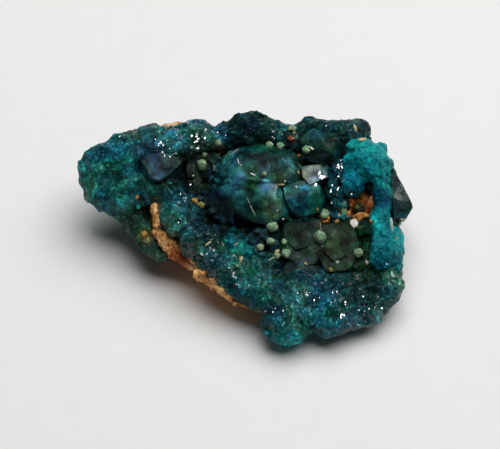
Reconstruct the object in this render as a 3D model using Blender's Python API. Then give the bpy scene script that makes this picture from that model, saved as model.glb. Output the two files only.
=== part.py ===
"""A dioptase specimen: blue-green crystals grown together on a gossan matrix, with a turquoise
crust and pale green spherules. Metres, +Z up. It lies on z = 0 on a flat break of its matrix, and
the origin is the middle of that resting face."""

import math
import random

import bmesh
import bpy
from mathutils import Matrix, Vector, noise
from mathutils.bvhtree import BVHTree

MM = 0.001
EPS = 1e-9

# Driving dimensions, in millimetres and degrees
FACE_TILT = 16.0
FACE_PLACE = (-3.6, -1.0, 8.9)
SIGHT_ABOVE_FACE = 70.0
SEAM = 0.32
TABLE_GAP = 0.25
RHOMB_SLOPE = 1.233

# The crust's body: (right, up) of its edge as seen, clockwise from the snout's tip, the point its
# rings run round, and each ring's share of the way out with its depth from the face
BODY_EDGE = [
    (-21.0, 8.9), (-19.6, 10.0), (-17.2, 11.3), (-13.6, 12.6), (-9.5, 13.2), (-6.5, 13.4),
    (-3.4, 12.4), (-0.8, 13.9), (1.8, 14.0), (5.0, 13.2), (9.0, 13.5), (12.0, 12.9), (14.8, 13.3),
    (16.4, 11.2), (18.4, 8.6), (19.4, 5.6), (20.3, 3.2), (19.6, 0.0), (19.6, -3.0), (20.0, -6.0),
    (18.6, -8.8), (15.6, -11.2), (12.0, -13.0), (8.5, -13.7), (5.2, -14.1), (3.5, -13.4),
    (2.9, -11.5), (0.6, -9.6), (-2.0, -8.0), (-4.0, -6.6), (-6.0, -4.8), (-8.0, -3.0),
    (-9.7, -1.0), (-10.7, 1.3), (-11.4, 3.0), (-13.4, 3.2), (-15.6, 3.3), (-18.0, 3.6),
    (-20.0, 5.2),
]
BODY_CENTRE = (0.0, 4.0)
BODY_TOP = [
    (0.22, -3.9), (0.42, -3.8), (0.60, -3.5), (0.74, -2.7), (0.86, -1.7), (0.95, -2.0),
    (1.0, -3.2),
]
BODY_UNDER = [(0.97, -4.8), (0.88, -6.2), (0.7, -7.0), (0.4, -7.2)]
BODY_ROUGHNESS = 0.5

# The gossan matrix: (right, up) of its edge as seen. It stands out past the crust where the real
# one shows, along the front left and in a bump at the back left.
MATRIX_EDGE = [
    (-13.4, 5.4), (-13.2, 8.6), (-12.0, 12.0), (-10.9, 14.0), (-9.7, 14.8), (-8.5, 14.4),
    (-7.0, 12.6), (-3.4, 11.6), (2.0, 12.2), (7.0, 12.0), (12.5, 11.8), (15.2, 10.8), (17.2, 7.8),
    (18.2, 4.0), (18.2, 1.0), (18.0, -3.6), (16.6, -7.6), (13.5, -10.2), (9.0, -11.4),
    (5.0, -11.4), (1.8, -10.9), (-0.9, -10.0), (-2.8, -8.9), (-4.8, -8.1), (-6.4, -6.8),
    (-6.9, -5.2), (-9.4, -4.3), (-11.2, -2.9), (-12.1, -0.9), (-12.7, 1.3), (-13.1, 3.4),
]
MATRIX_CENTRE = (0.0, 2.0)
MATRIX_EDGE_DEPTH = -3.9
MATRIX_SHOWN_DEPTH = -2.4
MATRIX_SHOWN = [((-9.6, -1.2), 8.5), ((-9.8, 13.6), 3.0)]
MATRIX_BAND = 1.6
MATRIX_LEDGE = 1.9
MATRIX_TOP_DEPTH = -4.9
MATRIX_ROUGHNESS = 0.45

# The flat break it rests on: its outline on the table, about its middle, which is the origin
REST_OUTLINE = [
    (13.0, -0.6), (12.2, 5.2), (6.2, 8.8), (-1.4, 9.8), (-8.6, 8.6), (-12.6, 5.4), (-11.4, 0.8),
    (-7.6, -2.4), (-3.4, -4.8), (-0.6, -8.0), (4.4, -9.6), (9.4, -8.4), (12.4, -5.0),
]

# Lobes of the drusy crust: where seen (right, up), how far out of the face, and half sizes
# (across, up, deep)
CRUST_LOBES = {
    "snout_tip": ((-19.8, 8.2, -2.6), (2.7, 3.0, 3.0)),
    "snout_upper": ((-18.2, 9.4, -1.2), (2.4, 2.1, 2.0)),
    "snout_low": ((-18.6, 5.2, -3.4), (2.9, 2.7, 2.8)),
    "snout_neck": ((-15.7, 5.4, -2.2), (2.6, 3.2, 2.6)),
    "snout_middle": ((-15.9, 9.2, -1.4), (2.6, 2.9, 2.6)),
    "snout_knob": ((-17.2, 11.3, -2.0), (1.7, 1.6, 1.8)),
    "ridge_left": ((-13.5, 11.3, -1.0), (3.3, 3.0, 2.8)),
    "ridge_middle": ((-9.7, 11.6, 0.0), (3.4, 2.6, 2.6)),
    "ridge_right": ((-6.0, 12.2, -0.6), (3.0, 2.6, 2.6)),
    "back_dome": ((0.4, 12.9, -0.8), (4.2, 2.8, 3.0)),
    "back_step": ((6.6, 12.5, -1.5), (3.0, 2.3, 2.8)),
    "back_far": ((11.2, 12.4, -1.8), (3.0, 2.2, 2.8)),
    "back_corner": ((14.6, 12.7, -2.0), (2.4, 2.3, 2.4)),
    "right_shoulder": ((18.4, 6.9, -3.0), (2.0, 3.6, 2.4)),
    "right_side": ((19.6, -3.3, -3.2), (1.8, 3.0, 2.4)),
    "right_corner": ((18.6, -7.4, -3.0), (2.8, 2.8, 2.4)),
    "front_right": ((15.3, -10.5, -3.2), (3.5, 2.7, 2.4)),
    "front_middle": ((11.0, -11.4, -2.2), (3.3, 3.3, 2.4)),
    "front_lobe": ((5.6, -12.2, -2.2), (3.8, 3.5, 2.6)),
    "front_lobe_top": ((4.6, -9.6, -1.3), (3.2, 2.4, 2.0)),
    "front_left": ((0.9, -8.0, -1.6), (2.9, 2.8, 2.2)),
    "left_front": ((-3.2, -4.9, -1.4), (3.0, 2.8, 2.2)),
    "left_wall": ((-6.4, -1.6, -1.2), (2.8, 2.9, 2.2)),
    "left_high": ((-12.0, 5.6, -1.6), (2.4, 2.2, 2.2)),
    "under_neck": ((-15.6, 2.7, -4.6), (2.4, 2.6, 2.4)),
    "under_left": ((-14.2, 0.9, -5.4), (2.5, 2.2, 2.2)),
    "under_middle": ((-11.8, -1.3, -6.4), (2.4, 2.0, 1.8)),
    "shelf": ((7.2, -7.3, -1.9), (4.6, 2.6, 2.0)),
    "shelf_right": ((12.6, -7.6, -2.4), (4.6, 2.6, 2.0)),
    "shelf_left": ((1.8, -4.6, -2.6), (3.2, 2.2, 1.8)),
    "back_skirt_left": ((-9.5, 9.4, -6.0), (4.0, 3.0, 3.0)),
    "back_skirt": ((2.5, 10.2, -6.2), (4.8, 3.0, 3.4)),
    "back_skirt_right": ((11.5, 9.6, -6.6), (4.8, 3.0, 3.2)),
    "right_skirt": ((18.6, 1.0, -6.0), (2.4, 4.8, 2.8)),
}
LOBE_ROUGHNESS = 0.2
LOBE_CRYSTALS = 2
LOBE_CRYSTAL_RADIUS = (0.7, 1.2)
OPEN_SIDE = 4.0

# Large crystals shown by their faces: each list gives the corners that are seen, and the last
# rows of it, marked by how deep they are, are the corners round its widest part
FACETED_CRYSTALS = {
    "main_back": [
        (-0.8, 9.9, 1.9), (2.2, 10.3, 2.2), (5.0, 9.3, 1.9), (6.4, 7.4, 1.5), (4.4, 6.2, 1.9),
        (1.8, 6.6, 2.6), (-1.0, 6.9, 2.3), (-2.4, 8.6, 1.3),
        (-3.4, 9.6, -0.6), (-2.3, 10.9, -0.6), (2.2, 11.5, 0.2), (5.4, 10.9, -0.5),
        (7.5, 8.4, -0.7), (6.8, 5.6, -0.7), (-3.5, 7.2, -0.7), (-2.6, 4.9, -1.0),
    ],
    "main_front": [
        (-0.8, 6.3, 1.1), (2.2, 6.7, 1.7), (3.7, 3.6, 0.9), (4.5, 1.8, 0.0), (4.0, 5.7, 1.2),
        (-1.6, 2.6, -0.4), (1.2, 0.7, -0.9), (-2.3, 4.8, -0.2), (3.4, 0.3, -1.0),
        (5.6, 3.6, -1.0), (5.6, 1.2, -1.4), (-2.6, 2.2, -1.6),
    ],
    "box": [
        (5.2, 5.3, 0.3), (8.8, 6.3, 0.3), (5.4, 4.1, 0.9), (9.8, 5.0, 0.8), (9.9, 6.0, -0.2),
        (6.0, 2.4, -0.6), (7.2, 1.7, -0.9), (10.2, 2.4, -0.9), (10.6, 4.6, -0.8),
    ],
    "upper_dark": [
        (8.9, 14.2, 1.0), (7.2, 12.0, 0.8), (9.8, 12.2, 1.9), (12.2, 12.4, 1.3),
        (11.4, 10.2, 1.1), (9.2, 10.0, 0.8),
        (6.8, 13.6, -0.5), (8.7, 14.8, -0.4), (11.4, 14.4, -0.5), (13.5, 12.4, -0.8),
        (13.5, 10.4, -1.0), (12.5, 8.8, -1.2), (10.0, 8.6, -0.8), (7.6, 9.8, -0.8),
    ],
    "mirror": [
        (7.4, 8.3, 0.5), (9.9, 8.7, 0.5), (10.3, 6.9, 0.8), (8.5, 6.0, 0.9), (7.6, 7.1, 0.8),
        (7.0, 8.5, -1.2), (10.2, 9.0, -1.2), (10.9, 6.8, -1.0),
    ],
    "slate": [
        (-14.2, 10.5, 1.2), (-11.4, 10.9, 1.4), (-9.3, 9.4, 1.8), (-10.9, 7.8, 1.9),
        (-12.0, 6.8, 1.5), (-13.2, 7.4, 1.4),
        (-15.0, 10.6, -0.6), (-11.4, 11.6, -0.4), (-8.6, 9.2, 0.2), (-11.8, 6.2, -0.4),
        (-14.2, 7.0, -0.6),
    ],
    "plain_left": [
        (6.0, 0.6, -1.9), (9.6, 1.3, -1.9), (10.0, -1.6, -1.1), (8.5, -3.1, -1.1),
        (6.1, -2.5, -1.3), (5.4, 0.8, -3.0), (10.2, 1.8, -3.0), (5.6, -3.0, -2.6),
    ],
    "plain_right": [
        (10.5, 0.1, -2.0), (13.2, 0.6, -2.1), (14.5, -2.0, -1.7), (13.8, -4.4, -1.3),
        (11.2, -5.1, -1.2), (9.9, -3.3, -1.3), (10.2, 0.8, -3.2), (14.4, 0.9, -3.2),
        (15.2, -2.4, -3.0), (14.0, -5.2, -2.6),
    ],
    "plain_low": [
        (5.4, -3.4, -1.8), (8.4, -3.6, -1.4), (9.6, -5.2, -1.2), (7.4, -6.4, -1.0),
        (4.8, -5.4, -1.3), (4.4, -3.2, -3.0), (9.8, -3.4, -3.0),
    ],
    "dark_back": [
        (-7.9, 10.2, -0.9), (-4.4, 10.8, -0.9), (-3.6, 8.2, -1.7), (-5.0, 6.4, -2.0),
        (-8.0, 7.2, -1.6), (-8.6, 10.6, -2.6), (-4.0, 11.4, -2.4), (-2.8, 8.2, -3.0),
    ],
    "dark_hollow": [
        (-5.6, 5.2, -1.8), (-2.6, 4.8, -1.6), (-1.8, 1.6, -2.0), (-4.4, 0.4, -1.9),
        (-6.4, 2.6, -2.0), (-6.4, 5.6, -3.2), (-1.4, 4.6, -3.0), (-1.2, 0.6, -3.2),
    ],
    "left_prism": [
        (-10.6, 5.4, 0.2), (-8.4, 5.6, 0.4), (-7.7, 4.2, 0.3), (-8.0, 0.6, 0.8),
        (-9.6, -0.2, 0.8), (-11.0, 1.0, 0.3), (-11.3, 4.0, 0.0), (-9.6, 2.6, 1.3),
        (-7.2, 3.8, -1.4), (-7.4, 0.0, -1.2), (-9.8, -1.0, -0.9), (-11.6, 0.8, -1.2),
        (-11.8, 4.4, -1.4),
    ],
    "dark_front": [
        (-6.8, 0.2, -0.2), (-4.2, 0.4, -0.4), (-3.6, -1.8, 0.0), (-5.8, -2.4, 0.4),
        (-7.4, -1.2, 0.2), (-7.6, 0.8, -1.6), (-3.4, 0.8, -1.6), (-3.0, -2.4, -1.4),
    ],
}
FACETED_ROOT = -5.2

# Other large crystals, as whole prisms: where their middle is seen and how far out of the face,
# radius, half length, lean right and lean up from the face's normal, and turn about their axis
PRISM_CRYSTALS = {
    "right_glassy": ((20.1, 3.8, -2.5), 2.1, 3.2, 50.0, 10.0, 15.0),
    "right_top": ((19.6, 5.9, -2.4), 1.6, 2.8, 35.0, 20.0, 40.0),
    "glint_upper": ((12.2, 7.2, -2.0), 1.3, 2.4, -10.0, 10.0, 0.0),
    "glint_middle": ((11.6, 5.2, -2.2), 1.3, 2.6, 8.0, -16.0, 25.0),
    "glint_low": ((12.6, 3.6, -2.4), 1.2, 2.4, -6.0, -24.0, 50.0),
    "teal_floor": ((-1.0, -3.0, -2.4), 1.9, 2.6, -10.0, -30.0, 20.0),
    "dark_floor": ((-3.4, -1.0, -2.8), 1.7, 2.6, -20.0, -6.0, 35.0),
    "floor_middle": ((1.6, -1.0, -3.2), 1.6, 2.6, 14.0, -16.0, 5.0),
    "block": ((14.5, 0.6, -1.8), 0.75, 1.4, 4.0, -30.0, 0.0),
}

# Medium crystals filling the hollow between the large ones: their field and number
FILL_MIDDLE = (4.0, 1.5)
FILL_HALF = (12.5, 8.0)
FILL_COUNT = 14
FILL_DEPTH = -3.3
FILL_RADIUS = (0.8, 1.4)

# The gap in the crust where the rust-brown matrix shows: its corners as seen
POCKET_CORNERS = [
    (15.9, 6.0), (13.8, 3.7), (13.5, 2.4), (14.8, 1.2), (16.8, 1.6), (17.2, 3.6), (16.8, 5.2),
]
POCKET_MIDDLE = (15.4, 3.4)
POCKET_REACH = 3.2
POCKET_RISE = 1.7
POCKET_OUT = (-7.5, 4.0)

# Turquoise crust, listed as the lobes are
TURQUOISE_LOBES = {
    "cap": ((16.4, 8.9, -0.8), (3.3, 2.7, 2.6)),
    "cap_top": ((15.4, 10.9, -1.2), (2.2, 1.3, 2.0)),
    "cap_left": ((14.1, 6.6, -1.3), (1.9, 2.4, 2.2)),
    "cap_right": ((18.8, 7.6, -1.6), (1.5, 3.4, 2.4)),
    "pillar_top": ((18.3, 4.0, -1.6), (1.5, 2.8, 2.2)),
    "pillar": ((18.0, 0.8, -1.6), (1.5, 3.2, 2.2)),
    "pillar_low": ((18.6, -2.8, -1.9), (2.3, 3.2, 2.4)),
    "edge_knob": ((20.5, -1.4, -2.6), (1.0, 2.0, 1.6)),
    "edge_low": ((20.5, -4.4, -2.9), (1.1, 2.0, 1.7)),
}
TURQUOISE_ROUGHNESS = 0.22

# Spherules: where each is seen (right, up), and its diameter
SPHERULES = [
    (-5.9, 8.7, 1.5), (-5.6, 10.1, 0.7), (3.1, 11.5, 1.2), (4.6, 11.3, 1.1), (6.3, 13.7, 0.9),
    (8.0, 10.8, 1.1), (2.4, 7.5, 0.7), (10.5, 2.1, 1.4), (13.0, 2.5, 1.3), (3.5, 0.5, 1.7),
    (9.9, -0.9, 1.9), (3.2, -1.5, 1.3), (1.9, -2.3, 1.1), (5.1, -1.6, 0.9), (5.3, -3.1, 1.3),
    (4.2, -3.4, 1.0), (15.0, -3.0, 1.3), (-3.7, 11.7, 0.9),
]
SPHERULE_SUNK = 0.25

# The share of the joined crystals' triangles kept: the rest are slivers along their crossings
DIOPTASE_KEPT = 0.6
THINNING_STEP = 0.01


def clear_scene():
    for obj in list(bpy.data.objects):
        bpy.data.objects.remove(obj)


def face_frame():
    """Matrix from the crystal-bearing face's axes (right, up the face, out of it) to the part's."""
    return Matrix.Translation(FACE_PLACE) @ Matrix.Rotation(math.radians(FACE_TILT), 4, "X")


def seen(right, up, out):
    """The face-frame point, out above the face, that is seen that far right and up."""
    sight = math.radians(SIGHT_ABOVE_FACE)
    return Vector((right, (up - out * math.cos(sight)) / math.sin(sight), out))


def line_of_sight():
    """Unit vector in the face frame from the specimen towards the viewer."""
    sight = math.radians(SIGHT_ABOVE_FACE)
    return Vector((0.0, -math.cos(sight), math.sin(sight)))


def mesh_object(name, bm, helper=None):
    """An object in metres from a bmesh in millimetres in the part's frame."""
    bmesh.ops.recalc_face_normals(bm, faces=bm.faces)
    bmesh.ops.scale(bm, vec=(MM, MM, MM), verts=bm.verts)
    mesh = bpy.data.meshes.new(name)
    bm.to_mesh(mesh)
    bm.free()
    obj = bpy.data.objects.new(name, mesh)
    if helper is None:
        bpy.context.scene.collection.objects.link(obj)
    else:
        helper.objects.link(obj)
        obj.hide_render = True
        obj.display_type = "WIRE"
    return obj


def helper_collection(name):
    collection = bpy.data.collections.new(name)
    bpy.context.scene.collection.children.link(collection)
    return collection


def lobe_mesh(middle, half, roughness, seed, grow=0.0, detail=2):
    """A faceted lump: an icosphere stretched to its half sizes with its corners moved in or out."""
    bm = bmesh.new()
    bmesh.ops.create_icosphere(bm, subdivisions=detail, radius=1.0)
    offset = Vector((seed * 7.13, seed * 3.71, seed * 5.37))
    for vert in bm.verts:
        direction = vert.co.normalized()
        swell = 1.0 + roughness * 2.0 * noise.noise(direction * 1.9 + offset)
        size = Vector(half) * swell + Vector((grow, grow, grow))
        vert.co = middle + Vector([direction[i] * size[i] for i in range(3)])
    return bm


def crystal_mesh(radius, half_length):
    """A dioptase crystal on the Z axis: a six-sided prism with three rhombs at each end. The
    rhombs lie over alternate prism edges, and the two ends are turned half a step apart."""
    bm = bmesh.new()
    rise = RHOMB_SLOPE * radius
    rings = []
    for sign in (1.0, -1.0):
        ring = []
        for step in range(6):
            angle = math.radians(60.0 * step)
            low = (step % 2 == 0) == (sign > 0)
            z = sign * (half_length - (rise if low else 0.5 * rise))
            ring.append(bm.verts.new((radius * math.cos(angle), radius * math.sin(angle), z)))
        rings.append(ring)
    for sign, ring in zip((1.0, -1.0), rings):
        apex = bm.verts.new((0.0, 0.0, sign * half_length))
        first_low = 0 if sign > 0 else 1
        for step in range(first_low, 6 + first_low, 2):
            bm.faces.new((apex, ring[step - 1], ring[step % 6], ring[(step + 1) % 6]))
    for step in range(6):
        after = (step + 1) % 6
        bm.faces.new((rings[0][step], rings[1][step], rings[1][after], rings[0][after]))
    return bm


def placed_crystal(middle, radius, half_length, axis, turn):
    """A crystal in the face frame, pointing along axis."""
    bm = crystal_mesh(radius, half_length)
    aim = axis.to_track_quat("Z", "Y").to_matrix().to_4x4()
    bm.transform(Matrix.Translation(middle) @ aim @ Matrix.Rotation(turn, 4, "Z"))
    return bm


def leaning(right, up):
    """Direction leaning that many degrees right and up from the face's normal."""
    return Vector((math.tan(math.radians(right)), math.tan(math.radians(up)), 1.0)).normalized()


def lobe_crystals(middle, half, rng):
    """Small crystals standing out of a lobe on its open side, away from the specimen's middle."""
    away = Vector((middle.x, middle.y, OPEN_SIDE)).normalized()
    shapes = []
    while len(shapes) < LOBE_CRYSTALS:
        axis = Vector([rng.gauss(0.0, 1.0) for _ in range(3)]).normalized()
        if axis.dot(away) < 0.05:
            continue
        foot = middle + Vector([axis[i] * half[i] * 0.72 for i in range(3)])
        radius = rng.uniform(*LOBE_CRYSTAL_RADIUS)
        lean = (axis + 0.45 * Vector([rng.gauss(0.0, 1.0) for _ in range(3)])).normalized()
        shapes.append(placed_crystal(foot, radius, radius * 1.55, lean, rng.uniform(0.0, 6.28)))
    return shapes


def faceted_crystal(corners):
    """The solid between a crystal's seen corners and its root, where it narrows inside the crust."""
    bm = bmesh.new()
    middle = sum((seen(*corner) for corner in corners), Vector()) / len(corners)
    for corner in corners:
        point = seen(*corner)
        root = middle.lerp(point, 0.8)
        root.z = FACETED_ROOT
        bm.verts.new(point)
        bm.verts.new(root)
    bmesh.ops.convex_hull(bm, input=bm.verts)
    bmesh.ops.delete(bm, geom=[vert for vert in bm.verts if not vert.link_faces], context="VERTS")
    bmesh.ops.dissolve_limit(bm, angle_limit=0.03, verts=bm.verts, edges=bm.edges)
    bmesh.ops.triangulate(bm, faces=bm.faces)
    return bm


def fill_crystals(rng):
    """Medium crystals standing on the hollow's floor, clear of the rust-brown gap."""
    shapes = []
    gap = Vector(POCKET_MIDDLE)
    while len(shapes) < FILL_COUNT:
        u, v = rng.uniform(-1.0, 1.0), rng.uniform(-1.0, 1.0)
        place = Vector((FILL_MIDDLE[0] + u * FILL_HALF[0], FILL_MIDDLE[1] + v * FILL_HALF[1]))
        radius = rng.uniform(*FILL_RADIUS)
        if u * u + v * v > 1.0 or (place - gap).length < POCKET_REACH + radius:
            continue
        axis = leaning(rng.uniform(-45.0, 45.0), rng.uniform(-50.0, 35.0))
        middle = seen(place.x, place.y, FILL_DEPTH)
        shapes.append(placed_crystal(middle, radius, radius * 1.9, axis, rng.uniform(0.0, 6.28)))
    return shapes


def spherule_mesh(surface, right, up, diameter):
    """A small ball sitting on whatever the line of sight meets first."""
    sight = line_of_sight()
    start = seen(right, up, 0.0) + sight * 40.0
    hit = surface.ray_cast(start, -sight)[0]
    if hit is None:
        raise ValueError(f"no crystal is seen at {right}, {up}")
    radius = 0.5 * diameter
    middle = hit + sight * radius * (1.0 - 2.0 * SPHERULE_SUNK)
    bm = bmesh.new()
    bmesh.ops.create_icosphere(bm, subdivisions=2 if diameter > 1.0 else 1, radius=radius)
    bmesh.ops.translate(bm, vec=middle, verts=bm.verts)
    return bm


def surface_of(shapes):
    """One search tree over several meshes."""
    points, faces = [], []
    for bm in shapes:
        base = len(points)
        bm.verts.index_update()
        points += [vert.co.copy() for vert in bm.verts]
        faces += [[base + vert.index for vert in face.verts] for face in bm.faces]
    return BVHTree.FromPolygons(points, faces)


def reach_to(edge, centre, angle):
    """How far an outline is from a point inside it, in one direction."""
    ray = Vector((math.cos(angle), math.sin(angle)))
    middle = Vector(centre)
    for index, corner in enumerate(edge):
        a = Vector(corner) - middle
        b = Vector(edge[(index + 1) % len(edge)]) - middle
        side = b - a
        cross = ray.x * side.y - ray.y * side.x
        if abs(cross) < EPS:
            continue
        along = (a.x * side.y - a.y * side.x) / cross
        share = (a.x * ray.y - a.y * ray.x) / cross
        if along > 0.0 and -EPS <= share <= 1.0 + EPS:
            return along
    raise ValueError("the outline doesn't go all the way round")


def ring_loft(rings, steps, top, bottom=None):
    """A closed skin over rings of points that run from the bottom up, each with as many steps."""
    bm = bmesh.new()
    rows = [[bm.verts.new(point) for point in ring] for ring in rings]
    for low, high in zip(rows, rows[1:]):
        for step in range(steps):
            after = (step + 1) % steps
            bm.faces.new((low[step], low[after], high[after], high[step]))
    for row, tip in ((rows[-1], top), (rows[0], bottom)):
        if tip is None:
            bm.faces.new(row)
            continue
        vert = bm.verts.new(tip)
        for step in range(steps):
            bm.faces.new((row[step], row[(step + 1) % steps], vert))
    bmesh.ops.triangulate(bm, faces=[face for face in bm.faces if len(face.verts) == 4])
    return bm


def body_mesh(steps=46):
    """The body of the crust that its lobes and crystals grow from, in the face frame."""
    angles = [2.0 * math.pi * step / steps for step in range(steps)]
    rings = []
    for share, out in list(reversed(BODY_UNDER)) + list(reversed(BODY_TOP)):
        ring = []
        for angle in angles:
            reach = share * reach_to(BODY_EDGE, BODY_CENTRE, angle)
            right = BODY_CENTRE[0] + reach * math.cos(angle)
            up = BODY_CENTRE[1] + reach * math.sin(angle)
            rough = BODY_ROUGHNESS * 2.0 * noise.noise(Vector((right * 0.5, up * 0.5, out)))
            ring.append(seen(right, up, out + rough))
        rings.append(ring)
    middle = Vector(BODY_CENTRE)
    top = seen(middle.x, middle.y, BODY_TOP[0][1])
    return ring_loft(rings, steps, top, seen(middle.x, middle.y, BODY_UNDER[-1][1] - 0.2))


def matrix_edge_depth(right, up):
    """The edge stands higher where the matrix shows than where the crust covers it."""
    raised = 0.0
    for place, reach in MATRIX_SHOWN:
        near = (Vector((right, up)) - Vector(place)).length / reach
        raised = max(raised, min(1.0, max(0.0, 2.0 * (1.15 - near))))
    return MATRIX_EDGE_DEPTH + raised * (MATRIX_SHOWN_DEPTH - MATRIX_EDGE_DEPTH)


def matrix_top_depth(right, up):
    """The matrix rises under the gap in the crust."""
    near = (Vector((right, up)) - Vector(POCKET_MIDDLE)).length / POCKET_REACH
    return MATRIX_TOP_DEPTH + POCKET_RISE * math.exp(-near * near)


def matrix_mesh(steps=52):
    """The gossan matrix, in the part's frame: rings from the flat break up its sides, over its
    edge and in to the hollow's floor."""
    to_part = face_frame()
    middle = to_part @ seen(*MATRIX_CENTRE, MATRIX_TOP_DEPTH)
    angles = [2.0 * math.pi * step / steps for step in range(steps)]
    rest, rim, band = [], [], []
    for angle in angles:
        around = Vector((math.cos(angle), math.sin(angle), 0.0))
        rest.append(around * reach_to(REST_OUTLINE, (0.0, 0.0), angle))
        reach = reach_to(MATRIX_EDGE, MATRIX_CENTRE, angle)
        right = MATRIX_CENTRE[0] + reach * around.x
        up = MATRIX_CENTRE[1] + reach * around.y
        out = matrix_edge_depth(right, up)
        ragged = MATRIX_ROUGHNESS * noise.noise(Vector((right, up, 3.0)) * 0.7)
        inner = reach - MATRIX_LEDGE
        right_in = MATRIX_CENTRE[0] + inner * around.x
        up_in = MATRIX_CENTRE[1] + inner * around.y
        rim.append(to_part @ seen(right_in, up_in, out + 0.4))
        band.append(to_part @ seen(right, up, out - MATRIX_BAND * 0.5 + ragged))
    rings = [rest]
    for share, bulge in ((0.3, 0.2), (0.66, 0.4)):
        ring = []
        for low, high in zip(rest, band):
            point = low.lerp(high, share)
            outward = Vector((point.x - middle.x, point.y - middle.y, 0.0)).normalized()
            rough = MATRIX_ROUGHNESS * 2.0 * noise.noise(point * 0.45)
            ring.append(point + outward * (bulge + rough))
        rings.append(ring)
    rings += [band, rim]
    for share in (0.72, 0.5, 0.25):
        ring = []
        for angle in angles:
            reach = share * reach_to(MATRIX_EDGE, MATRIX_CENTRE, angle)
            right = MATRIX_CENTRE[0] + reach * math.cos(angle)
            up = MATRIX_CENTRE[1] + reach * math.sin(angle)
            rough = MATRIX_ROUGHNESS * noise.noise(Vector((right, up, 0.0)) * 0.4)
            ring.append(to_part @ seen(right, up, matrix_top_depth(right, up) + rough))
        rings.append(ring)
    return ring_loft(rings, steps, middle)


def grown(bm, distance):
    """The same skin moved out by a distance, which makes the cutter that keeps a seam."""
    bmesh.ops.recalc_face_normals(bm, faces=bm.faces)
    bm.normal_update()
    moves = [vert.normal * distance * min(1.6, vert.calc_shell_factor()) for vert in bm.verts]
    for vert, move in zip(bm.verts, moves):
        vert.co += move
    return bm


def pocket_cutter():
    """Opens the crust over the rust-brown matrix, along the line of sight."""
    bm = bmesh.new()
    ends = [
        [bm.verts.new(seen(*corner, out)) for corner in POCKET_CORNERS] for out in POCKET_OUT
    ]
    for ring in ends:
        bm.faces.new(ring)
    count = len(POCKET_CORNERS)
    for step in range(count):
        after = (step + 1) % count
        bm.faces.new((ends[0][step], ends[0][after], ends[1][after], ends[1][step]))
    return bm


def in_part_frame(bm):
    bm.transform(face_frame())
    return bm


def boolean(obj, operation, collection=None, other=None):
    modifier = obj.modifiers.new(operation.title(), "BOOLEAN")
    modifier.operation = operation
    modifier.solver = "EXACT"
    if collection is None:
        modifier.object = other
    else:
        modifier.operand_type = "COLLECTION"
        modifier.collection = collection
    return modifier


def as_modified(obj):
    """A bmesh of what an object's modifiers make of it."""
    bm = bmesh.new()
    bm.from_object(obj, bpy.context.evaluated_depsgraph_get())
    return bm


def is_closed(bm):
    return all(len(edge.link_faces) == 2 for edge in bm.edges)


def settled(obj):
    """Replaces an object's mesh with what its modifiers make of it, less any loose crumbs."""
    bm = as_modified(obj)
    keep_largest_body(bm)
    bmesh.ops.triangulate(bm, faces=bm.faces)
    obj.modifiers.clear()
    bm.to_mesh(obj.data)
    bm.free()
    obj.data.update()


def thinned(obj, share):
    """Drops the smallest triangles, keeping at least that share of them and the skin closed."""
    modifier = obj.modifiers.new("Thinned", "DECIMATE")
    while True:
        modifier.ratio = share
        bm = as_modified(obj)
        closed = is_closed(bm)
        bm.free()
        if closed or share >= 1.0:
            return
        share = min(1.0, share + THINNING_STEP)


def keep_largest_body(bm):
    bodies = []
    left = set(bm.verts)
    while left:
        stack = [left.pop()]
        body = list(stack)
        while stack:
            for edge in stack.pop().link_edges:
                for vert in edge.verts:
                    if vert in left:
                        left.discard(vert)
                        stack.append(vert)
                        body.append(vert)
        bodies.append(body)
    bodies.sort(key=len)
    for body in bodies[:-1]:
        bmesh.ops.delete(bm, geom=body, context="VERTS")


def table_slab():
    """Everything that would reach lower than just above the table."""
    bm = bmesh.new()
    bmesh.ops.create_cube(bm, size=80.0)
    bmesh.ops.translate(bm, vec=(0.0, 0.0, TABLE_GAP - 40.0), verts=bm.verts)
    return bm


def material(name, colour, roughness):
    made = bpy.data.materials.new(name)
    made.use_nodes = True
    shader = made.node_tree.nodes["Principled BSDF"]
    shader.inputs["Base Color"].default_value = (*colour, 1.0)
    shader.inputs["Roughness"].default_value = roughness
    shader.inputs["Metallic"].default_value = 0.0
    return made


def build_matrix():
    obj = mesh_object("matrix", matrix_mesh())
    obj.data.materials.append(material("gossan", (0.42, 0.24, 0.12), 0.9))
    return obj


def turquoise_shapes(grow=0.0):
    return [
        in_part_frame(lobe_mesh(seen(*place), half, TURQUOISE_ROUGHNESS, 60 + n, grow))
        for n, (place, half) in enumerate(TURQUOISE_LOBES.values())
    ]


def joined(name, shapes, helpers):
    """An object made of all the shapes as one body, by a union with the rest of them."""
    first = mesh_object(name, shapes[0])
    for number, bm in enumerate(shapes[1:]):
        mesh_object(f"{name}_shape_{number}", bm, helpers)
    boolean(first, "UNION", collection=helpers)
    return first


def build_turquoise(matrix_cutter):
    obj = joined("turquoise_crust", turquoise_shapes(), helper_collection("turquoise shapes"))
    boolean(obj, "DIFFERENCE", other=matrix_cutter)
    settled(obj)
    obj.data.materials.append(material("turquoise", (0.01, 0.24, 0.24), 0.5))
    return obj


def dioptase_shapes():
    rng = random.Random(11)
    shapes = [body_mesh()]
    for number, (place, half) in enumerate(CRUST_LOBES.values()):
        middle = seen(*place)
        shapes.append(lobe_mesh(middle, half, LOBE_ROUGHNESS, number))
        shapes += lobe_crystals(middle, half, rng)
    shapes += [faceted_crystal(corners) for corners in FACETED_CRYSTALS.values()]
    for place, radius, half_length, right, up, turn in PRISM_CRYSTALS.values():
        axis = leaning(right, up)
        shapes.append(placed_crystal(seen(*place), radius, half_length, axis, math.radians(turn)))
    shapes += fill_crystals(rng)
    surface = surface_of(shapes)
    shapes += [spherule_mesh(surface, *spot) for spot in SPHERULES]
    return [in_part_frame(bm) for bm in shapes]


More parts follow.
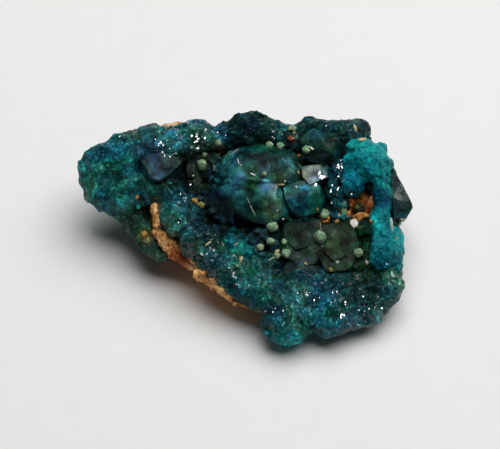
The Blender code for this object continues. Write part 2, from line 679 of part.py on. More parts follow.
def build_dioptase(cutters):
    obj = joined("dioptase", dioptase_shapes(), helper_collection("dioptase shapes"))
    for cutter in cutters:
        boolean(obj, "DIFFERENCE", other=cutter)
    settled(obj)
    thinned(obj, DIOPTASE_KEPT)
    obj.data.materials.append(material("dioptase", (0.01, 0.10, 0.11), 0.15))
    return obj


def main():
    clear_scene()
    cutters = helper_collection("cutters")
    matrix_cutter = mesh_object("matrix_cutter", grown(matrix_mesh(), SEAM), cutters)
    slab = mesh_object("table_slab", table_slab(), cutters)
    pocket = mesh_object("pocket_cutter", in_part_frame(pocket_cutter()), cutters)
    shapes = turquoise_shapes(grow=SEAM)
    turquoise_cutter = mesh_object("turquoise_cutter", shapes[0], cutters)
    others = helper_collection("turquoise cutter shapes")
    for number, bm in enumerate(shapes[1:]):
        mesh_object(f"turquoise_cutter_{number}", bm, others)
    boolean(turquoise_cutter, "UNION", collection=others)
    build_matrix()
    build_turquoise(matrix_cutter)
    build_dioptase([pocket, matrix_cutter, turquoise_cutter, slab])


main()
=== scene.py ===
import math

import bmesh
import bpy
import numpy as np
from mathutils import Matrix, Vector, noise
from mathutils.bvhtree import BVHTree


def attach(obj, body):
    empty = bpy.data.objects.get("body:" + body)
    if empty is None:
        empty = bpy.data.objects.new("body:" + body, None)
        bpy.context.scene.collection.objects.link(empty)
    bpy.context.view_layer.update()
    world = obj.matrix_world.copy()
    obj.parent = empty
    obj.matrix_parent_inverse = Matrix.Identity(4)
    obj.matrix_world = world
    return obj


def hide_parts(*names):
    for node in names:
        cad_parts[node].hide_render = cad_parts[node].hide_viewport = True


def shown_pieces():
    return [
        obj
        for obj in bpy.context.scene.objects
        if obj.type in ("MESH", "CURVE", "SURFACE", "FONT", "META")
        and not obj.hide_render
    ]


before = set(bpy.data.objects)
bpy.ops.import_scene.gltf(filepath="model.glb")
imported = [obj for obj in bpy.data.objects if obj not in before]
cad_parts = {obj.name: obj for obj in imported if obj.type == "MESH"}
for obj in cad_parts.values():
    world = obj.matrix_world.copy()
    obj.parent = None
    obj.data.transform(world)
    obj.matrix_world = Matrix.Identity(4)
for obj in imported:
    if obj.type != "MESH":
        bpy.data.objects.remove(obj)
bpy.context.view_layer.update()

# Everything is modelled in millimetres, in the part's own frame, and scaled when it becomes an object.
# A place that is "seen" is (right, up) on the picture plane through the middle of the crystal-bearing
# face. A third number says how far out of that face it stands.
mm = 0.001
tiny = 1e-9
layout = {
    "faceTilt": 16.0,             # the crystal-bearing face leans this much towards the viewer
    "facePlace": (-3.6, -1.0, 8.9),
    "sightAboveFace": 70.0,
    "elevation": 54.0,
    "cameraDistance": 500.0,
    "pictureWidth": 66.67,        # what the picture's width spans at the specimen
    "pictureMiddle": (0.53, 0.73),    # where the picture's middle is seen
    "eyeStart": 60.0,             # looking for a piece starts this far out
    "seed": 5,
}
rng = np.random.default_rng(layout["seed"])
sight = math.radians(layout["sightAboveFace"])
faceToPart = Matrix.Translation(layout["facePlace"]) @ Matrix.Rotation(
    math.radians(layout["faceTilt"]), 4, "X")
faceTurn = faceToPart.to_3x3()
partToFace = faceToPart.inverted()
towardEye = (faceTurn @ Vector((0.0, -math.cos(sight), math.sin(sight)))).normalized()


def seen(right, up, out):
    # the part-frame point, that far out of the face, which is seen there
    return faceToPart @ Vector((right, (up - out * math.cos(sight)) / math.sin(sight), out))


def seenFrom(points):
    # where part-frame points (an n x 3 array) are seen: right, up and out of the face
    turn = np.array(partToFace)
    local = points @ turn[:3, :3].T + turn[:3, 3]
    up = local[:, 1] * math.sin(sight) + local[:, 2] * math.cos(sight)
    return np.column_stack([local[:, 0], up, local[:, 2]])


# Noise over arrays of points

hashSteps = (374761393, 668265263, 1274126177, 974711)     # for x, y, z and the seed
hashRounds = ((13, 1103515245), (11, 12345701))
noiseShift, cellShift = 31.7, 17.3     # they keep the grids' corners off the origin
blockLevel = 0.07                      # how much a block's level varies, for its size


def hashed(cells, seed):
    # a number from 0 to 1 for each whole-numbered cell
    x, y, z = (cells[..., i].astype(np.int64) for i in range(3))
    n = x * hashSteps[0] + y * hashSteps[1] + z * hashSteps[2] + seed * hashSteps[3]
    for shift, factor in hashRounds:
        n = (n ^ (n >> shift)) * factor & 0x7FFFFFFF
    return ((n ^ (n >> 15)) & 0xFFFFF) / 0xFFFFF


def cellTone(cell, seed):
    # a little darker or lighter than 1, cell by cell
    return 0.8 + 0.4 * hashed(cell, seed)


def smoothNoise(points, size, seed):
    # -1 to 1, with features of that size
    q = points / size + noiseShift
    base = np.floor(q)
    f = q - base
    f = f * f * (3.0 - 2.0 * f)
    total = np.zeros(len(points))
    for corner in np.ndindex(2, 2, 2):
        weight = np.ones(len(points))
        for axis in range(3):
            weight = weight * (f[:, axis] if corner[axis] else 1.0 - f[:, axis])
        total += weight * hashed(base + np.array(corner), seed)
    return total * 2.0 - 1.0


def layeredNoise(points, layers):
    # each layer is a size, a seed and a height
    return sum(smoothNoise(points, size, seed) * height for size, seed, height in layers)


def nearestCells(points, size, seed):
    # for each point: how far its nearest scattered centre is, that centre, and its cell
    q = points / size + cellShift
    base = np.floor(q)
    best = np.full(len(points), np.inf)
    centre, cell = np.zeros_like(points), np.zeros_like(points)
    for step in np.ndindex(3, 3, 3):
        around = base + np.array(step) - 1.0
        place = around + np.column_stack([hashed(around, seed + k) for k in (1, 2, 3)])
        gap = np.linalg.norm(place - q, axis=1)
        nearer = gap < best
        centre[nearer], cell[nearer] = place[nearer], around[nearer]
        best = np.minimum(gap, best)
    return best * size, (centre - cellShift) * size, cell


def blockSteps(points, size, seed, tilt):
    # a small flat plane in each cell, tilted at random: reads as grown-together crystal faces
    _, centre, cell = nearestCells(points, size, seed)
    lean = np.column_stack([hashed(cell, seed + k) for k in (5, 6, 7)]) * 2.0 - 1.0
    level = hashed(cell, seed + 9) * 2.0 - 1.0
    return np.einsum("ij,ij->i", points - centre, lean) * tilt + level * size * blockLevel


# Meshes

def meshFrom(name, points, faces):
    mesh = bpy.data.meshes.new(name)
    mesh.from_pydata([tuple(p) for p in points], [], faces)
    mesh.update()
    return mesh


def newObject(name, data):
    obj = bpy.data.objects.new(name, data)
    bpy.context.scene.collection.objects.link(obj)
    return obj


def finished(name, points, faces, material, tint, wet=0.0, smooth=False, sharpFrom=None):
    # a piece of the specimen, in metres, riding on its one body
    mesh = meshFrom(name, points * mm, faces)
    layer = mesh.attributes.new("tint", "FLOAT_COLOR", "POINT")
    colours = np.column_stack([np.clip(tint, 0.0, 1.0), np.broadcast_to(wet, len(tint))])
    layer.data.foreach_set("color", colours.astype(np.float32).ravel())
    mesh.materials.append(material)
    mesh.polygons.foreach_set("use_smooth", [smooth or bool(sharpFrom)] * len(mesh.polygons))
    if sharpFrom:
        mesh.set_sharp_from_angle(angle=math.radians(sharpFrom))
    obj = newObject(name, mesh)
    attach(obj, "root")
    print(f"{name}: {sum(len(p.vertices) - 2 for p in mesh.polygons)} triangles")
    return obj


def arraysOf(mesh):
    points = np.empty(len(mesh.vertices) * 3)
    mesh.vertices.foreach_get("co", points)
    normals = np.empty(len(mesh.vertices) * 3)
    mesh.vertices.foreach_get("normal", normals)
    return points.reshape(-1, 3), normals.reshape(-1, 3), [tuple(p.vertices) for p in mesh.polygons]


def joined(parts):
    # several shapes' points and faces as one list of each
    points, faces = [], []
    for partPoints, partFaces in parts:
        faces += [tuple(len(points) + i for i in face) for face in partFaces]
        points += [tuple(p) for p in partPoints]
    return points, faces


def fusedSkin(parts, voxel):
    # one closed skin round overlapping closed shapes
    obj = newObject("fusing", meshFrom("fusing", *joined(parts)))
    remesh = obj.modifiers.new("Remesh", "REMESH")
    remesh.mode = "VOXEL"
    remesh.voxel_size = voxel
    shell = bpy.data.meshes.new_from_object(
        obj.evaluated_get(bpy.context.evaluated_depsgraph_get()))
    bpy.data.objects.remove(obj)
    return arraysOf(shell)


def fromBmesh(bm):
    bmesh.ops.recalc_face_normals(bm, faces=bm.faces)
    bm.verts.index_update()
    made = np.array([v.co[:] for v in bm.verts]), [tuple(v.index for v in f.verts) for f in bm.faces]
    bm.free()
    return made


def treeOf(points, faces):
    return BVHTree.FromPolygons([Vector(p) for p in points], faces)


def unit(v):
    return v / np.maximum(np.linalg.norm(v, axis=1), tiny)[:, None]


def reachTo(edge, centre, angle):
    # how far an outline is from its centre in that direction
    ray = (math.cos(angle), math.sin(angle))
    for corner, after in zip(edge, edge[1:] + edge[:1]):
        ax, ay = corner[0] - centre[0], corner[1] - centre[1]
        sx, sy = after[0] - corner[0], after[1] - corner[1]
        cross = ray[0] * sy - ray[1] * sx
        if abs(cross) < tiny:
            continue
        along = (ax * sy - ay * sx) / cross
        share = (ax * ray[1] - ay * ray[0]) / cross
        if along > 0.0 and -tiny <= share <= 1.0 + tiny:
            return along
    raise ValueError("the outline doesn't go all the way round")


# Materials

class Socket:
    # one value or colour on its way through a material, so that shader maths reads as maths
    def __init__(self, paint, socket):
        self.paint = paint
        self.socket = socket

    def vector(self):
        return self.socket.type in ("VECTOR", "RGBA")

    def combine(self, operation, other, flipped=False):
        wide = self.vector() or (isinstance(other, Socket) and other.vector())
        if wide and not isinstance(other, (Socket, tuple)):
            other = (other,) * 3
        first, second = (other, self) if flipped else (self, other)
        kind = "ShaderNodeVectorMath" if wide else "ShaderNodeMath"
        return self.paint.node(kind, {"operation": operation}, {0: first, 1: second})

    def __add__(self, other):
        return self.combine("ADD", other)

    def __radd__(self, other):
        return self.combine("ADD", other, True)

    def __sub__(self, other):
        return self.combine("SUBTRACT", other)

    def __rsub__(self, other):
        return self.combine("SUBTRACT", other, True)

    def __mul__(self, other):
        return self.combine("MULTIPLY", other)

    def __rmul__(self, other):
        return self.combine("MULTIPLY", other, True)

    def __pow__(self, other):
        return self.combine("POWER", other)

    def within(self, low, high):
        # 0 at low, 1 at high, held between
        return self.paint.node("ShaderNodeMapRange", {"clamp": True}, {
            "Value": self, "From Min": low, "From Max": high, "To Min": 0.0, "To Max": 1.0})


class Paint:
    # a material being put together; sizes are in millimetres
    def __init__(self, name):
        self.material = bpy.data.materials.new(name)
        self.material.use_nodes = True
        self.tree = self.material.node_tree
        self.tree.nodes.clear()
        self.output = self.tree.nodes.new("ShaderNodeOutputMaterial")

    def node(self, kind, settings=None, inputs=None, output=0):
        made = self.tree.nodes.new(kind)
        for key, value in (settings or {}).items():
            if key == "stops":
                self.setStops(made.color_ramp, value)
            else:
                setattr(made, key, value)
        for key, value in (inputs or {}).items():
            self.feed(made.inputs[key], value)
        return Socket(self, made.outputs[output])

    def feed(self, target, value):
        if isinstance(value, Socket):
            self.tree.links.new(value.socket, target)
        elif isinstance(value, tuple) and target.type == "RGBA":
            target.default_value = (*value, 1.0)
        else:
            target.default_value = value

    def setStops(self, ramp, stops):
        while len(ramp.elements) < len(stops):
            ramp.elements.new(0.5)
        for element, (place, colour) in zip(ramp.elements, stops):
            element.position = place
            element.color = (*colour, 1.0)

    def place(self):
        return self.node("ShaderNodeTexCoord", output="Object")

    def attribute(self, output):
        return self.node("ShaderNodeAttribute", {"attribute_name": "tint"}, output=output)

    def tint(self):
        return self.attribute("Color")

    def noise(self, size, detail=3.0, rough=0.55, where=None):
        # 0 to 1
        return self.node("ShaderNodeTexNoise", {"noise_dimensions": "3D"}, {
            "Vector": where or self.place(), "Scale": 1.0 / (size * mm), "Detail": detail,
            "Roughness": rough}, output="Fac")

    def cells(self, size, output="Distance"):
        return self.node("ShaderNodeTexVoronoi", {"feature": "F1"}, {
            "Vector": self.place(), "Scale": 1.0 / (size * mm), "Randomness": 1.0}, output=output)

    def mix(self, first, second, share):
        # these are the colour sockets, which share their names with others
        return self.node("ShaderNodeMix", {"data_type": "RGBA"}, {0: share, 6: first, 7: second}, 2)

    def ramp(self, value, stops):
        return self.node("ShaderNodeValToRGB", {"stops": stops}, {"Fac": value}, output="Color")

    def facets(self, *layers):
        # a normal broken into small flat crystal faces: (size, tilt) for each layer
        normal = self.node("ShaderNodeNewGeometry", output="Normal")
        for size, tilt in layers:
            normal = normal + (self.cells(size, "Color") - 0.5) * tilt
        return self.node("ShaderNodeVectorMath", {"operation": "NORMALIZE"}, {0: normal})

    def bump(self, height, depth, strength=1.0):
        return self.node("ShaderNodeBump", {}, {
            "Height": height, "Strength": strength, "Distance": depth * mm}, output="Normal")

    def shader(self, **inputs):
        return self.node("ShaderNodeBsdfPrincipled", {}, {
            key.replace("_", " "): value for key, value in inputs.items()}, output="BSDF")

    def done(self, surface, volume=None):
        self.feed(self.output.inputs["Surface"], surface)
        if volume is not None:
            self.feed(self.output.inputs["Volume"], volume)
        return self.material


def drusePaint(name, look):
    # dark crystal skin: its colour comes from each point's tint, and the tint's alpha says how wet
    # it looks there
    p = Paint(name)
    cloud = p.noise(look["cloud"], 4.0, 0.6)
    # painted glints: a few grain-sized cells are drawn much brighter in the base colour, for light
    # thrown back from inside the crystals
    glint = p.cells(look["grain"], "Color")
    glint = p.node("ShaderNodeSeparateColor", {}, {"Color": glint}, output="Red")
    shade = 0.42 + 0.45 * cloud.within(0.3, 0.72) + look["paintedGlint"] * glint ** 4.0
    colour = p.tint() * shade
    blue = p.noise(1.1, 3.0, 0.6).within(0.54, 0.68)
    green = p.noise(1.5, 3.0, 0.6, p.place() + (0.03, 0.01, 0.02)).within(0.56, 0.7)
    colour = p.mix(colour, colour * (0.9, 0.92, 1.1), blue)
    colour = p.mix(colour, colour * (1.3, 1.05, 0.62), green)
    rough = look["gloss"] + look["glossSpread"] * p.noise(0.5, 2.0).within(0.4, 0.7)
    grain, tilt = look["grain"], look["tilt"]
    dry = p.shader(
        Base_Color=colour, Roughness=rough, IOR=1.6, Specular_IOR_Level=look["sheen"],
        Normal=p.facets((grain, tilt), (grain * 2.3, tilt * 0.7)))
    wet = p.shader(
        Base_Color=colour, Roughness=0.1, IOR=look["wetIor"], Specular_IOR_Level=look["wetSheen"],
        Normal=p.facets((grain * 1.3, tilt), (1.3, 0.3)))
    return p.done(p.node("ShaderNodeMixShader", {}, {0: p.attribute("Alpha"), 1: dry, 2: wet}))


def clearPaint(name, look):
    # a see-through crystal: smooth faces, cloudy veils and healed cracks inside
    p = Paint(name)
    swirl = p.node("ShaderNodeTexNoise", {}, {
        "Vector": p.place(), "Scale": 1.0 / (2.0 * mm), "Detail": 2.0}, output="Color")
    bent = p.place() + (swirl - 0.5) * (1.6 * mm)
    veil = p.noise(1.4, 5.0, 0.6, bent).within(0.38, 0.68)
    crack = p.node("ShaderNodeTexVoronoi", {"feature": "DISTANCE_TO_EDGE"}, {
        "Vector": bent, "Scale": 1.0 / (2.6 * mm)}, output="Distance")
    crack = (1.0 - crack.within(0.0, 0.045)) * p.noise(1.1, 2.0).within(0.5, 0.62)
    colour = p.tint() * (look["base"] + look["veil"] * veil + look["crack"] * crack)
    colour = p.mix(colour, colour * (0.9, 0.82, 1.15), p.noise(1.8, 2.0).within(0.5, 0.62))
    colour = colour * (1.0 + look["mottle"] * (p.noise(0.36, 4.0, 0.7).within(0.3, 0.7) - 0.45))
    rough = look["gloss"] + look["glossSpread"] * p.noise(1.6, 3.0).within(0.35, 0.75)
    body = p.node("ShaderNodeVolumeAbsorption", {}, {
        "Color": look["glow"], "Density": look["density"]}, output="Volume")
    waves = p.noise(1.7, 2.0, 0.5) * 0.8 + p.noise(0.5, 2.0, 0.5) * 0.2
    return p.done(p.shader(
        Base_Color=colour, Roughness=rough, IOR=1.66, Transmission_Weight=look["clear"],
        Specular_IOR_Level=look["sheen"], Normal=p.bump(waves, look["bump"], 0.7)), body)


def chalkPaint():
    # matt grains: colour from their tint
    p = Paint("paleGrains")
    return p.done(p.shader(
        Base_Color=p.tint() * (0.65 + 0.7 * p.noise(0.25, 3.0, 0.6)), Roughness=0.75,
        Specular_IOR_Level=0.25, Normal=p.bump(p.noise(0.12, 3.0, 0.7), 0.05, 0.8)))


def spherulePaint():
    p = Paint("paleSpherule")
    mottle = p.noise(0.45, 4.0, 0.65)
    colour = p.ramp(mottle, [
        (0.34, (0.02, 0.07, 0.035)), (0.46, (0.14, 0.28, 0.16)), (0.6, (0.32, 0.46, 0.26)),
        (0.75, (0.55, 0.62, 0.42))])
    colour = p.mix(colour, p.tint(), 0.25)
    return p.done(p.shader(
        Base_Color=colour, Roughness=0.55 + 0.25 * mottle, Specular_IOR_Level=0.4,
        Normal=p.bump(p.noise(0.16, 4.0, 0.7), 0.05, 0.8)))


def turquoisePaint():
    p = Paint("turquoiseSkin")
    cloud = p.noise(1.6, 4.0, 0.6)
    fine = p.noise(0.35, 3.0, 0.6)
    deep = p.mix(p.tint(), (0.0, 0.055, 0.13), cloud.within(0.52, 0.75) * 0.4)
    colour = p.mix(deep, (0.02, 0.50, 0.44), fine.within(0.56, 0.8) * 0.4)
    return p.done(p.shader(
        Base_Color=colour, Roughness=0.22 + 0.3 * fine, IOR=1.5, Specular_IOR_Level=0.09,
        Normal=p.facets((0.34, 0.6), (0.8, 0.35))))


def gossanPaint():
    p = Paint("gossan")
    wide = p.noise(2.4, 4.0, 0.6)
    fine = p.noise(0.5, 4.0, 0.65)
    colour = p.ramp(wide * 0.55 + fine * 0.45, [
        (0.32, (0.06, 0.024, 0.012)), (0.4, (0.34, 0.15, 0.065)), (0.48, (0.62, 0.38, 0.18)),
        (0.58, (0.8, 0.58, 0.34)), (0.72, (0.9, 0.74, 0.52))])
    colour = colour * p.tint()
    crumb = p.cells(0.4) * 0.5 + p.noise(0.3, 4.0, 0.7) * 0.5
    # painted shade: the colour is darker where the crumb bump sinks, in its pits
    colour = colour * (0.55 + 0.9 * crumb.within(0.2, 0.6))
    return p.done(p.shader(
        Base_Color=colour, Roughness=0.86, Specular_IOR_Level=0.25,
        Normal=p.bump(crumb, 0.3, 1.0)))


def tablePaint():
    p = Paint("paleTable")
    grain = p.noise(4.0, 3.0)
    colour = p.mix((0.80, 0.80, 0.795), (0.83, 0.83, 0.825), grain)
    return p.done(p.shader(Base_Color=colour, Roughness=0.75, Specular_IOR_Level=0.2))


print("materials")
looks = {
    "crust": {"cloud": 1.8, "gloss": 0.25, "glossSpread": 0.3, "grain": 0.32, "tilt": 0.75,
              "paintedGlint": 1.7, "sheen": 0.06, "wetIor": 1.6, "wetSheen": 0.6},
    "grains": {"cloud": 1.2, "gloss": 0.1, "glossSpread": 0.2, "grain": 0.6, "tilt": 0.2,
               "paintedGlint": 0.8, "sheen": 0.15, "wetIor": 1.6, "wetSheen": 0.6},
    "plates": {"cloud": 1.2, "gloss": 0.06, "glossSpread": 0.1, "grain": 0.8, "tilt": 0.04,
               "paintedGlint": 0.8, "sheen": 0.5, "wetIor": 2.0, "wetSheen": 0.9},
    "clear": {"glow": (0.10, 0.75, 0.70), "density": 700.0, "gloss": 0.18, "glossSpread": 0.2,
              "bump": 0.2, "clear": 0.3, "base": 0.5, "veil": 2.2, "crack": 2.6,
              "sheen": 0.1, "mottle": 0.9},
}
crustPaint = drusePaint("druseCrust", looks["crust"])
grainPaint = drusePaint("druseGrains", looks["grains"])
platePaint = drusePaint("brightFaces", looks["plates"])
crystalPaint = clearPaint("clearCrystal", looks["clear"])
ballPaint = spherulePaint()
bitPaint = chalkPaint()
turquoiseSkinPaint = turquoisePaint()
matrixPaint = gossanPaint()

# Colour and grain of the druse from place to place. Each is strongest at its own place.

druse = {
    # seen at (right, up), reach, tint, grain size, wetness
    "brownGap": ((-3.6, 10.7), 0.7, (0.09, 0.045, 0.012), 0.4, 0.1),
    "brownBack": ((6.0, 12.1), 0.9, (0.085, 0.028, 0.01), 0.4, 0.1),
    "brownMiddle": ((7.2, 10.2), 1.0, (0.07, 0.03, 0.01), 0.4, 0.1),
    "amberFloor": ((10.8, 1.6), 1.0, (0.26, 0.12, 0.03), 0.36, 0.05),
    "amberRight": ((13.0, 1.4), 0.8, (0.2, 0.11, 0.03), 0.36, 0.05),
    "oliveLeft": ((-6.4, 3.6), 0.8, (0.1, 0.08, 0.02), 0.36, 0.05),
    "creamUnder": ((-13.4, -1.0), 0.8, (0.18, 0.15, 0.06), 0.34, 0.05),
    "snoutBlue": ((-18.2, 9.2), 2.6, (0.007, 0.155, 0.178), 0.42, 0.17),
    "snoutTip": ((-20.8, 7.6), 2.2, (0.014, 0.16, 0.17), 0.4, 0.14),
    "snoutLow": ((-18.0, 4.4), 2.6, (0.012, 0.2, 0.2), 0.38, 0.14),
    "snoutRight": ((-14.8, 6.4), 2.6, (0.012, 0.125, 0.12), 0.36, 0.14),
    "ridgeLeft": ((-13.0, 12.0), 2.6, (0.016, 0.1, 0.12), 0.46, 0.6),
    "ridgeMiddle": ((-9.6, 12.2), 2.6, (0.022, 0.21, 0.24), 0.6, 0.9),
    "ridgeRight": ((-5.6, 12.8), 2.6, (0.016, 0.1, 0.112), 0.5, 0.7),
    "backDome": ((0.6, 13.0), 3.4, (0.004, 0.03, 0.04), 0.46, 0.1),
    "backStep": ((5.4, 13.0), 1.8, (0.006, 0.09, 0.09), 0.4, 0.5),
    "backFar": ((10.8, 13.4), 2.6, (0.006, 0.05, 0.06), 0.4, 0.14),
    "backCorner": ((14.8, 13.0), 2.2, (0.01, 0.05, 0.05), 0.36, 0.14),
    "rightRim": ((20.6, -3.4), 2.0, (0.01, 0.23, 0.2), 0.34, 0.14),
    "rightCorner": ((19.4, -7.4), 2.2, (0.02, 0.12, 0.115), 0.4, 0.6),
    "frontRight": ((15.2, -8.0), 3.2, (0.006, 0.036, 0.027), 0.36, 0.14),
    "frontEdge": ((15.6, -12.2), 2.2, (0.014, 0.13, 0.15), 0.34, 0.8),
    "frontMiddle": ((10.4, -10.8), 2.8, (0.01, 0.125, 0.14), 0.34, 0.24),
    "frontLobe": ((4.8, -11.4), 2.8, (0.01, 0.095, 0.105), 0.32, 0.21),
    # painted glow: the thin front rim is tinted light, for light passing through it
    "frontRimGlow": ((5.0, -14.9), 1.7, (0.004, 0.34, 0.42), 0.3, 0.14),
    "frontLeft": ((1.0, -8.2), 2.6, (0.008, 0.105, 0.095), 0.34, 0.14),
    "shelf": ((6.4, -7.2), 2.8, (0.012, 0.09, 0.105), 0.34, 0.14),
    "hollowFront": ((6.5, -4.4), 3.0, (0.007, 0.035, 0.034), 0.42, 0.14),
    "leftFront": ((-3.0, -4.4), 2.4, (0.014, 0.1, 0.1), 0.34, 0.6),
    "tealPatch": ((-1.4, -3.2), 1.3, (0.006, 0.15, 0.155), 0.36, 0.14),
    "leftWall": ((-7.0, -1.2), 2.2, (0.012, 0.07, 0.075), 0.36, 0.6),
    "prism": ((-9.4, 2.8), 2.4, (0.014, 0.14, 0.155), 0.42, 0.6),
    "hollow": ((-4.4, 4.0), 4.6, (0.005, 0.02, 0.022), 0.44, 0.1),
    "hollowBack": ((-6.2, 8.6), 2.2, (0.012, 0.024, 0.014), 0.44, 0.14),
    "hollowRight": ((11.6, 3.4), 3.4, (0.01, 0.05, 0.06), 0.46, 0.8),
    "underLeft": ((-14.0, 0.4), 2.6, (0.026, 0.085, 0.05), 0.34, 0.14),
}

zoneTint, zoneGrain, zoneWet = 2, 3, 4     # columns of the tables of places


def zoneBlend(points, column, table=druse):
    # one column of a table of places, blended over part-frame points
    where = seenFrom(points)
    total, value = 0.0, 0.0
    for row in table.values():
        (right, up), reach = row[:2]
        gap = np.hypot(where[:, 0] - right, where[:, 1] - up)
        weight = np.exp(-1.6 * (gap / reach) ** 2) + tiny / (1.0 + gap ** 2)
        total = total + weight
        value = value + weight[:, None] * np.atleast_1d(row[column])
    return value / total[:, None]


def hollowness(points, faces, rounds):
    # how far each point lies from its smoothed surroundings
    pairs = np.array([(face[k - 1], face[k]) for face in faces for k in range(len(face))])
    count = np.bincount(pairs.ravel(), minlength=len(points)).astype(float)
    smooth = points.copy()
    keep, take = 0.3, 0.7         # a point's own share and its neighbours' in each round
    for _ in range(rounds):
        total = np.zeros_like(points)
        for axis in range(3):
            total[:, axis] = (
                np.bincount(pairs[:, 0], smooth[pairs[:, 1], axis], len(points))
                + np.bincount(pairs[:, 1], smooth[pairs[:, 0], axis], len(points)))
        smooth = keep * smooth + take * total / np.maximum(count, 1.0)[:, None]
    return points - smooth


clouding = {
    "layers": [(1.5, 51, 0.75), (0.6, 52, 0.6)], "level": -0.12,
    "hueSize": 1.8, "hueSeed": 53, "blue": (0.85, 0.84, 1.12), "green": (1.2, 1.0, 0.68),
}


def druseTone(points, table=druse):
    # the local colour, clouded the way light gathers in grown-together crystals
    cloud = layeredNoise(points, clouding["layers"]) + clouding["level"]
    tone = zoneBlend(points, zoneTint, table) * np.exp(cloud)[:, None]
    hue = smoothNoise(points, clouding["hueSize"], clouding["hueSeed"])[:, None]
    blue, green = np.array(clouding["blue"]), np.array(clouding["green"])
    return tone * np.where(hue > 0.0, 1.0 + (blue - 1.0) * np.minimum(hue * 2.0, 1.0),
                           1.0 + (green - 1.0) * np.minimum(-hue * 2.0, 1.0))


lobeFold = 1.9                    # how quickly a lobe's swelling changes over it
lobeSteps = (7.13, 3.71, 5.37)    # what sets one lobe's swelling apart from the next's


def lobeShape(place, half, seed, shrink=0.0, detail=3, rough=0.1):
    # an icosphere stretched to its half sizes and swollen unevenly
    bm = bmesh.new()
    bmesh.ops.create_icosphere(bm, subdivisions=detail, radius=1.0)
    offset = Vector([seed * step for step in lobeSteps])
    middle = seen(*place)
    for vert in bm.verts:
        way = vert.co.copy()
        swell = 1.0 + rough * 2.0 * noise.noise(way * lobeFold + offset)
        size = Vector(half) * swell - Vector((shrink,) * 3)
        vert.co = middle + faceTurn @ Vector([way[i] * size[i] for i in range(3)])
    return fromBmesh(bm)


# The gossan matrix, from its own solid

earth = {
    # its colour from place to place, over its own pattern: seen at (right, up), reach, tint
    "bandTop": ((-12.4, 2.0), 1.2, (1.0, 0.8, 0.56)),
    "bandSpot": ((-12.8, 0.4), 0.5, (0.5, 0.1, 0.08)),
    "bandMiddle": ((-11.0, -1.0), 2.0, (1.0, 0.82, 0.58)),
    "bandRed": ((-9.0, -3.6), 1.3, (0.55, 0.24, 0.18)),
    "bandLow": ((-5.4, -5.6), 1.8, (1.0, 0.86, 0.68)),
    "bandEnd": ((-1.4, -9.0), 1.8, (1.0, 0.84, 0.62)),
    "topLump": ((-9.9, 14.3), 1.6, (0.88, 0.86, 1.1)),
    "pocket": ((15.4, 3.4), 2.6, (0.6, 0.36, 0.2)),
    "strip": ((11.2, 1.5), 1.4, (0.95, 0.6, 0.28)),
    "under": ((4.0, 0.0), 4.0, (0.75, 0.62, 0.5)),
}
matrix = {
    "voxel": 0.24,
    "restBelow": 0.35,            # the flat break stays as it is up to this height
    "crumble": [(1.6, 11, 0.25), (0.7, 12, 0.25), (0.38, 13, 0.2)],
    "skylineLump": ((-9.8, 13.55, -2.0), (1.6, 1.05, 1.6)),
    "lumpRough": 0.2,
    "lumps": [
        # lumps of the rusty band that stand out from under the crust
        ((-12.2, 2.3, -2.1), (0.5, 1.1, 1.0)), ((-11.9, 0.7, -2.5), (0.8, 1.1, 1.1)),
        ((-12.0, -0.2, -3.0), (0.6, 0.7, 0.9)), ((-11.1, -1.1, -2.8), (0.9, 1.2, 1.1)),
        ((-10.8, -2.2, -3.3), (0.8, 0.8, 1.0)), ((-9.8, -2.9, -3.2), (1.0, 0.9, 1.1)),
        ((-5.8, -6.0, -1.9), (1.1, 0.75, 1.1)), ((-4.4, -6.9, -2.0), (1.1, 0.65, 1.1)),
        ((-3.2, -7.9, -2.3), (0.9, 0.6, 1.1)), ((-2.2, -8.9, -2.5), (0.8, 0.55, 1.0)),
        ((-1.3, -9.8, -2.8), (0.6, 0.45, 0.9)),
        # and the rim of the rusty pocket, with the strip that runs on from it
        ((14.0, 3.6, -2.7), (0.45, 1.2, 1.1)), ((15.5, 1.6, -2.5), (1.2, 0.4, 1.0)),
        ((16.9, 3.0, -2.5), (0.4, 1.2, 1.0)), ((10.6, 1.5, -2.0), (1.2, 0.35, 0.7)),
        ((12.3, 1.8, -2.1), (0.9, 0.35, 0.7)),
    ],
}
print("matrix")
matrixPoints, _, matrixFaces = arraysOf(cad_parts["matrix"].data)
lumps = [lobeShape(*matrix["skylineLump"], 90)]
lumps += [lobeShape(place, half, 91 + n, rough=matrix["lumpRough"])
          for n, (place, half) in enumerate(matrix["lumps"])]
matrixPoints, outward, matrixFaces = fusedSkin(
    [(matrixPoints / mm, matrixFaces), *lumps], matrix["voxel"])
crumble = np.where(matrixPoints[:, 2] < matrix["restBelow"], 0.0,
                   layeredNoise(matrixPoints, matrix["crumble"]))
matrixPoints = matrixPoints + outward * crumble[:, None]
matrixPoints[:, 2] = np.maximum(matrixPoints[:, 2], 0.0)
matrixPiece = finished("gossanMatrix", matrixPoints, matrixFaces, matrixPaint,
                       zoneBlend(matrixPoints, zoneTint, earth))
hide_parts("matrix")

